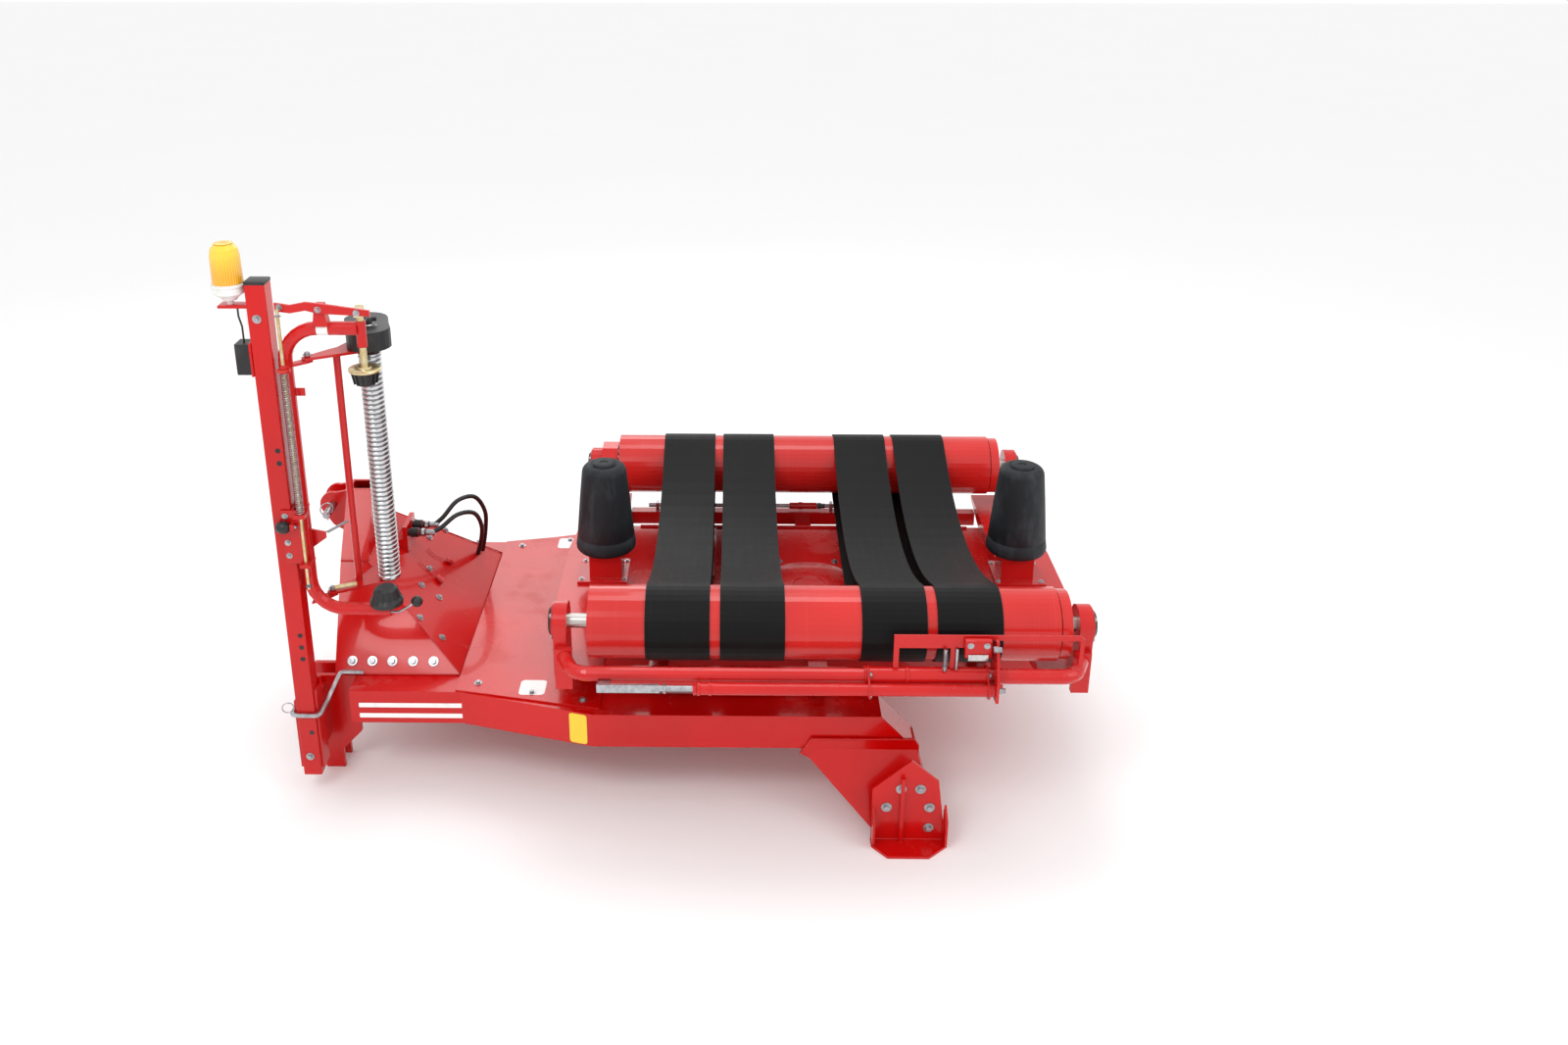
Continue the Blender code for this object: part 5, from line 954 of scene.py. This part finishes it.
# The upper cone's bright flange, and the ribs moulded on both cones.
cone_low, cone_high = node_box("upper_cone")
cone_centre = (cone_low + cone_high) / 2
flange_z = cone_high.z - 0.006
flange = turned("film_flange", [(0.046, -0.0006), (0.047, 0.0004), (0.047, 0.0056), (0.0455, 0.0068),
                                (0.02, 0.007), (0.019, 0.012), (0.0125, 0.0124)],
                (cone_centre.x, cone_centre.y, flange_z), sides=44)
dressed(flange, yellow_zinc, "upper_cone")


def ribs_round(name, outline, place, body, count=12):
    """Moulded ribs on a cone, each along one outline of its side."""
    ribs = [settled(bar("rib", outline, 0.0022, 2), place, Matrix.Rotation(step * math.tau / count, 4, "Z"))
            for step in range(count)]
    return dressed(joined(name, ribs), black_plastic, body)


ribs_round("film_cup_ribs", [(0.0395, 0, -0.0035), (0.033, 0, -0.0385)],
           (cone_centre.x, cone_centre.y, flange_z), "upper_cone")
foot_centre = node_middle("lower_cone")
foot_bottom = node_box("lower_cone")[0].z
ribs_round("film_foot_ribs", [(0.0475, 0, 0.013), (0.0415, 0, 0.0225), (0.0335, 0, 0.0485)],
           (foot_centre.x, foot_centre.y, foot_bottom), "lower_cone")

# The lever's three bolts, the pull rod's nuts, and its painted collar on top of the spring.
lever_face = node_box("release_lever")[0].y
lever_bolts = [(at(x, lever_face - sunk, z), "-Y") for x, sunk, z in
               ((-1.4345, 0.0002, 1.633), (-1.327, 0.0, 1.6235), (-1.542, 0.0, 1.6395))]
bolted("lever_bolts", tiny_bolt, lever_bolts, "lever")
rod_low, rod_high = node_box("pull_rod")
rod_x, rod_y = (rod_low.x + rod_high.x) / 2, (rod_low.y + rod_high.y) / 2
guide = turned("spring_guide", [(0.018, 0.0), (0.0186, 0.001), (0.0186, 0.007), (0.016, 0.0078),
                                (0.008, 0.008), (0.0078, 0.02), (0.0062, 0.0206)],
               (rod_x, rod_y, spring_high.z - 0.0002), sides=32)
dressed(guide, table_enamel, "pull_rod")
rod_nuts = [(Vector((rod_x, rod_y, z)), way) for z, way in
            ((rod_low.z + 0.012, "+Z"), (rod_low.z + 0.01, "-Z"), (rod_high.z - 0.022, "+Z"))]
bolted("rod_nuts", tiny_bolt, rod_nuts, "pull_rod")

# Latch on the mast bracket: a black ball knob on a zinc pin.
latch = at(-1.59, -0.5855, 0.9625)
ball = [(0.01, -0.009), (0.0138, -0.0068), (0.0168, -0.001), (0.0186, 0.003), (0.0193, 0.007),
        (0.0192, 0.012), (0.0188, 0.0167), (0.0165, 0.0222), (0.0128, 0.0289), (0.004, 0.0307)]
dressed(turned("latch_knob", ball, latch, "-X", 36, 60), black_plastic, "dispenser")
pin_piece = turned("latch_pin", [(0.005, 0.0), (0.0056, 0.0006), (0.0056, 0.027), (0.0046, 0.0282)],
                   latch + Vector((0.001, 0.004, 0)), "+X", 20)
dressed(pin_piece, zinc, "dispenser")
bracket_bolts = [(at(-1.596, -0.5719, z), "-Y") for z in (0.862, 0.905, 0.992)]
bolted("bracket_bolts", tiny_bolt, bracket_bolts, "dispenser")

# On the C frame: a welded stop flag, two collars, a blank band, and the treadle's ball on its rod.
flag = block("stop_flag", at(-1.536, -0.539, 1.362), at(-1.506, -0.533, 1.386), 0.0012)
bead = weld_bead("bead", at(-1.5325, -0.533, 1.366), at(-1.5325, -0.533, 1.382), 0.0025)
ring_low = [(0.0206, 0.0), (0.0222, 0.0012), (0.0222, 0.0032), (0.0206, 0.0044)]
collars = [turned("collar", ring_low, at(-1.553, -0.536, z), sides=28) for z in (1.0105, 0.8295)]
dressed(joined("frame_welds", [flag, bead] + collars), table_enamel, "dispenser")
band = turned("frame_band", [(0.0202, 0.0), (0.0207, 0.0003), (0.0207, 0.032), (0.0202, 0.0323)],
              at(-1.45, -0.536, 1.568), "+X", 40)
dressed(band, white_sticker, "dispenser")
treadle = bar("treadle_rod", smooth_route([at(-1.317, -0.548, 0.66), at(-1.29, -0.552, 0.662),
                                           at(-1.26, -0.548, 0.676), at(-1.24, -0.54, 0.688)], 5), 0.0035)
dressed(treadle, zinc, "dispenser")
ball = [(0.006, -0.0175)]
for step in range(1, 12):
    turn = -math.pi / 2 + 0.3 + step * (math.pi - 0.5) / 12
    ball.append((0.0175 * math.cos(turn), 0.0175 * math.sin(turn)))
ball.append((0.0035, 0.0173))
dressed(turned("treadle_ball", ball, at(-1.234, -0.538, 0.69), "+X", 36, 60), black_plastic,
        "dispenser")

# ---- turntable fittings ----------------------------------------------
# Flanged bearings with black dust caps on the drums' shafts, and the bolts of the cone brackets, the
# table's base and the drive case, all zinc plated.
DRUM_Y = 0.585
DRUM_Z = 0.655
HOUSING_FACE = 0.808            # outer face of a bearing housing, from the table's axis
BOLT_CIRCLE = 0.0485
BASE_TOP = 0.4503               # just clear of the table's base
CAP_PROFILE = [(0.04, 0), (0.0425, 0.002), (0.0425, 0.008), (0.0405, 0.0125), (0.037, 0.015),
               (0.023, 0.0158), (0.02, 0.0145), (0.006, 0.0145)]
FLANGE_PROFILE = [(0.052, -0.001), (0.054, 0.0008), (0.054, 0.004), (0.0505, 0.0058), (0.043, 0.006)]
caps, collars, housing_bolts = [], [], []
for side_x, way in ((-1, "-X"), (1, "+X")):
    for side_y in (-1, 1):
        face = at(side_x * (HOUSING_FACE + 0.0002), side_y * DRUM_Y, DRUM_Z)
        caps.append(turned("cap", CAP_PROFILE, face, way, 40))
        collars.append(turned("ring", FLANGE_PROFILE, face, way, 44))
        for quarter in range(4):
            turn = math.radians(45 + 90 * quarter)
            housing_bolts.append((at(side_x * (HOUSING_FACE + 0.004),
                                     side_y * DRUM_Y + BOLT_CIRCLE * math.cos(turn),
                                     DRUM_Z + BOLT_CIRCLE * math.sin(turn)), way))
dressed(joined("bearing_caps", caps), black_plastic, "table")
dressed(joined("bearing_flanges", collars), table_enamel, "table")
bolted("bearing_bolts", tiny_bolt, housing_bolts, "table")
bracket_bolts = [(at(side_x * x, y, 0.5101), "+Z") for side_x in (-1, 1) for x in (0.64, 0.786)
                 for y in (-0.066, 0.066)]
bolted("cone_bracket_bolts", tiny_bolt, bracket_bolts, "table")
base_bolts = [(at(side_x * x, side_y * y, 0.4501), "+Z") for side_x in (-1, 1) for side_y in (-1, 1)
              for x, y in ((0.1, 0.18), (0.18, 0.1), (0.5, 0.4), (0.25, 0.4))]
bolted("table_bolts", small_bolt, base_bolts, "table")
case_face = node_box("drive_motor")[1].x
case_bolts = [(Vector((case_face, DRUM_Y + dy, DRUM_Z + dz)), "+X") for dy, dz in
              ((-0.058, 0.05), (-0.058, -0.05), (0.058, -0.05), (0.052, 0.014), (0.004, 0.068))]
bolted("drive_case_bolts", tiny_bolt, case_bolts, "table")

# Folded ribs and the hub's disc on the table's base, and the rear cylinder with its hose fitting.
tray_ribs = []
for side in (-1, 1):
    for x in (-0.34, 0.34):
        tray_ribs.append(block("rib", at(x - 0.011, side * 0.25 - 0.19, BASE_TOP),
                               at(x + 0.011, side * 0.25 + 0.19, BASE_TOP + 0.006), 0.0022))
    tray_ribs.append(block("rib", at(-0.62, side * 0.452 - 0.006, BASE_TOP),
                           at(0.62, side * 0.452 + 0.006, BASE_TOP + 0.007), 0.0015))
hub = turned("hub", [(0.165, 0), (0.168, 0.0012), (0.168, 0.0055), (0.1655, 0.0068), (0.06, 0.007),
                     (0.056, 0.003)], at(0, 0, BASE_TOP), sides=64)
dressed(joined("table_ribs", tray_ribs + [hub]), table_enamel, "table")
rear_barrel = turned("brake_barrel", [(0.0105, 0), (0.0125, 0.0015), (0.0125, 0.035), (0.0145, 0.0352),
                                      (0.0145, 0.05), (0.0125, 0.0502), (0.0125, 0.105),
                                      (0.01, 0.107)], at(-0.05, 0.56, 0.49), "+X", 28)
dressed(rear_barrel, table_enamel, "table")
fitting = turned("brake_fitting", [(0.0105, 0), (0.0118, 0.001), (0.0118, 0.014), (0.0092, 0.015),
                                   (0.0092, 0.029), (0.007, 0.03)],
                 at(0.058, 0.56, 0.49), "+X", 6, 20)
dressed(fitting, black_plastic, "table")

# ---- film cutter fittings --------------------------------------------
# The cylinder's gland, the sleeve's rings and clamp bolts, the spring plunger that trips the knife,
# and the knife's box.
barrel_low, barrel_high = node_box("cutter_barrel")
barrel_y = (barrel_low.y + barrel_high.y) / 2
barrel_z = (barrel_low.z + barrel_high.z) / 2
CUTTER_Y = -0.75
nut = turned("nut", [(0.015, 0), (0.0188, 0.0012), (0.0188, 0.011), (0.015, 0.012)],
             (barrel_low.x - 0.0122, barrel_y, barrel_z), "+X", 6, 20)
rings = [turned("ring", [(0.0181, 0), (0.0205, 0.001), (0.0205, 0.008), (0.0181, 0.009)],
                (barrel_low.x + dx, barrel_y, barrel_z), "+X", 28) for dx in (0.0005, 0.034)]
dressed(joined("cutter_gland", [nut] + rings), table_enamel, "cutter")
clamp_bolts = []
for x in (0.131, 0.476):
    clamp_bolts += [(at(x, barrel_y - 0.0005, barrel_z - 0.0215), "+X"),
                    (at(x, CUTTER_Y - 0.029, 0.5965), "+X")]
bolted("clamp_bolts", tiny_bolt, clamp_bolts, "cutter")
collar = turned("slide_ring", [(0.0272, 0), (0.03, 0.0012), (0.03, 0.01), (0.0272, 0.0112)],
                at(0.236, CUTTER_Y, 0.575), "+X", 36)
lip = turned("slide_ring", [(0.0272, 0), (0.0292, 0.0012), (0.0292, 0.0052), (0.0272, 0.0062)],
             at(0.1175, CUTTER_Y, 0.575), "+X", 36)
dressed(joined("sleeve_rings", [collar, lip]), table_enamel, "cutter")

# The tripping plunger: a zinc pin in a coil, standing on the sleeve in front of the guard.
PLUNGER = (0.349, CUTTER_Y - 0.012)
post = turned("post", [(0.007, 0), (0.0072, 0.001), (0.0072, 0.012), (0.0048, 0.0125), (0.0048, 0.064),
                       (0.0066, 0.0645), (0.0066, 0.071), (0.004, 0.0722)], at(*PLUNGER, 0.6005), sides=20)
helix = coil("helix", at(*PLUNGER, 0.6125), at(*PLUNGER, 0.66), 0.0062, 0.0009, 0.004)
stay = turned("stay", [(0.0048, 0), (0.005, 0.001), (0.005, 0.069), (0.004, 0.07)],
              at(0.383, CUTTER_Y - 0.0085, 0.602), sides=18)
dressed(joined("cutter_plunger", [post, helix, stay]), zinc, "cutter")

# The knife's folded box with its steel blade and two screws, its hose stubs, and a wire finger below.
knife_box = block("knife_box", at(0.4025, -0.7755, 0.65), at(0.4805, -0.7535, 0.7075), 0.004)
dressed(knife_box, table_enamel, "cutter")
blade = block("knife_blade", at(0.412, -0.7785, 0.644), at(0.47, -0.7765, 0.664), 0.0006)
dressed(blade, steel, "cutter")
knife_screws = [(at(x, -0.7756, 0.692), "-Y") for x in (0.418, 0.465)]
bolted("knife_screws", tiny_bolt, knife_screws, "cutter")
STUB_PROFILE = [(0.0088, 0), (0.0095, 0.001), (0.0095, 0.013), (0.0075, 0.014), (0.0075, 0.023),
                (0.0055, 0.024)]
hose_stub = turned("hose_stub", STUB_PROFILE, at(0.48, barrel_y + 0.002, 0.692), "+X", 6, 20)
finger = bar("wire_finger", [at(x, barrel_y + 0.005, 0.5345) for x in (0.396, 0.4905)], 0.003)
end_stub = turned("end_stub", STUB_PROFILE, at(0.4994, barrel_y, barrel_z), "+X", 6, 20)
for piece in (hose_stub, finger, end_stub):
    dressed(piece, zinc, "cutter")

# The lock nut between the rod and its fixed link.
lock_nut = turned("rod_nut", [(0.0095, 0), (0.015, 0.001), (0.015, 0.009), (0.0095, 0.01)],
                  at(-0.47, barrel_y, 0.557), "+X", 6, 20)
dressed(lock_nut, zinc, "table")

# The three bolt shapes were only for copying.
for template in (big_bolt, small_bolt, tiny_bolt):
    bpy.data.objects.remove(template, do_unlink=True)

# ---- overall size ----------------------------------------------------
# The box round every finished piece, in metres.
low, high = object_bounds()
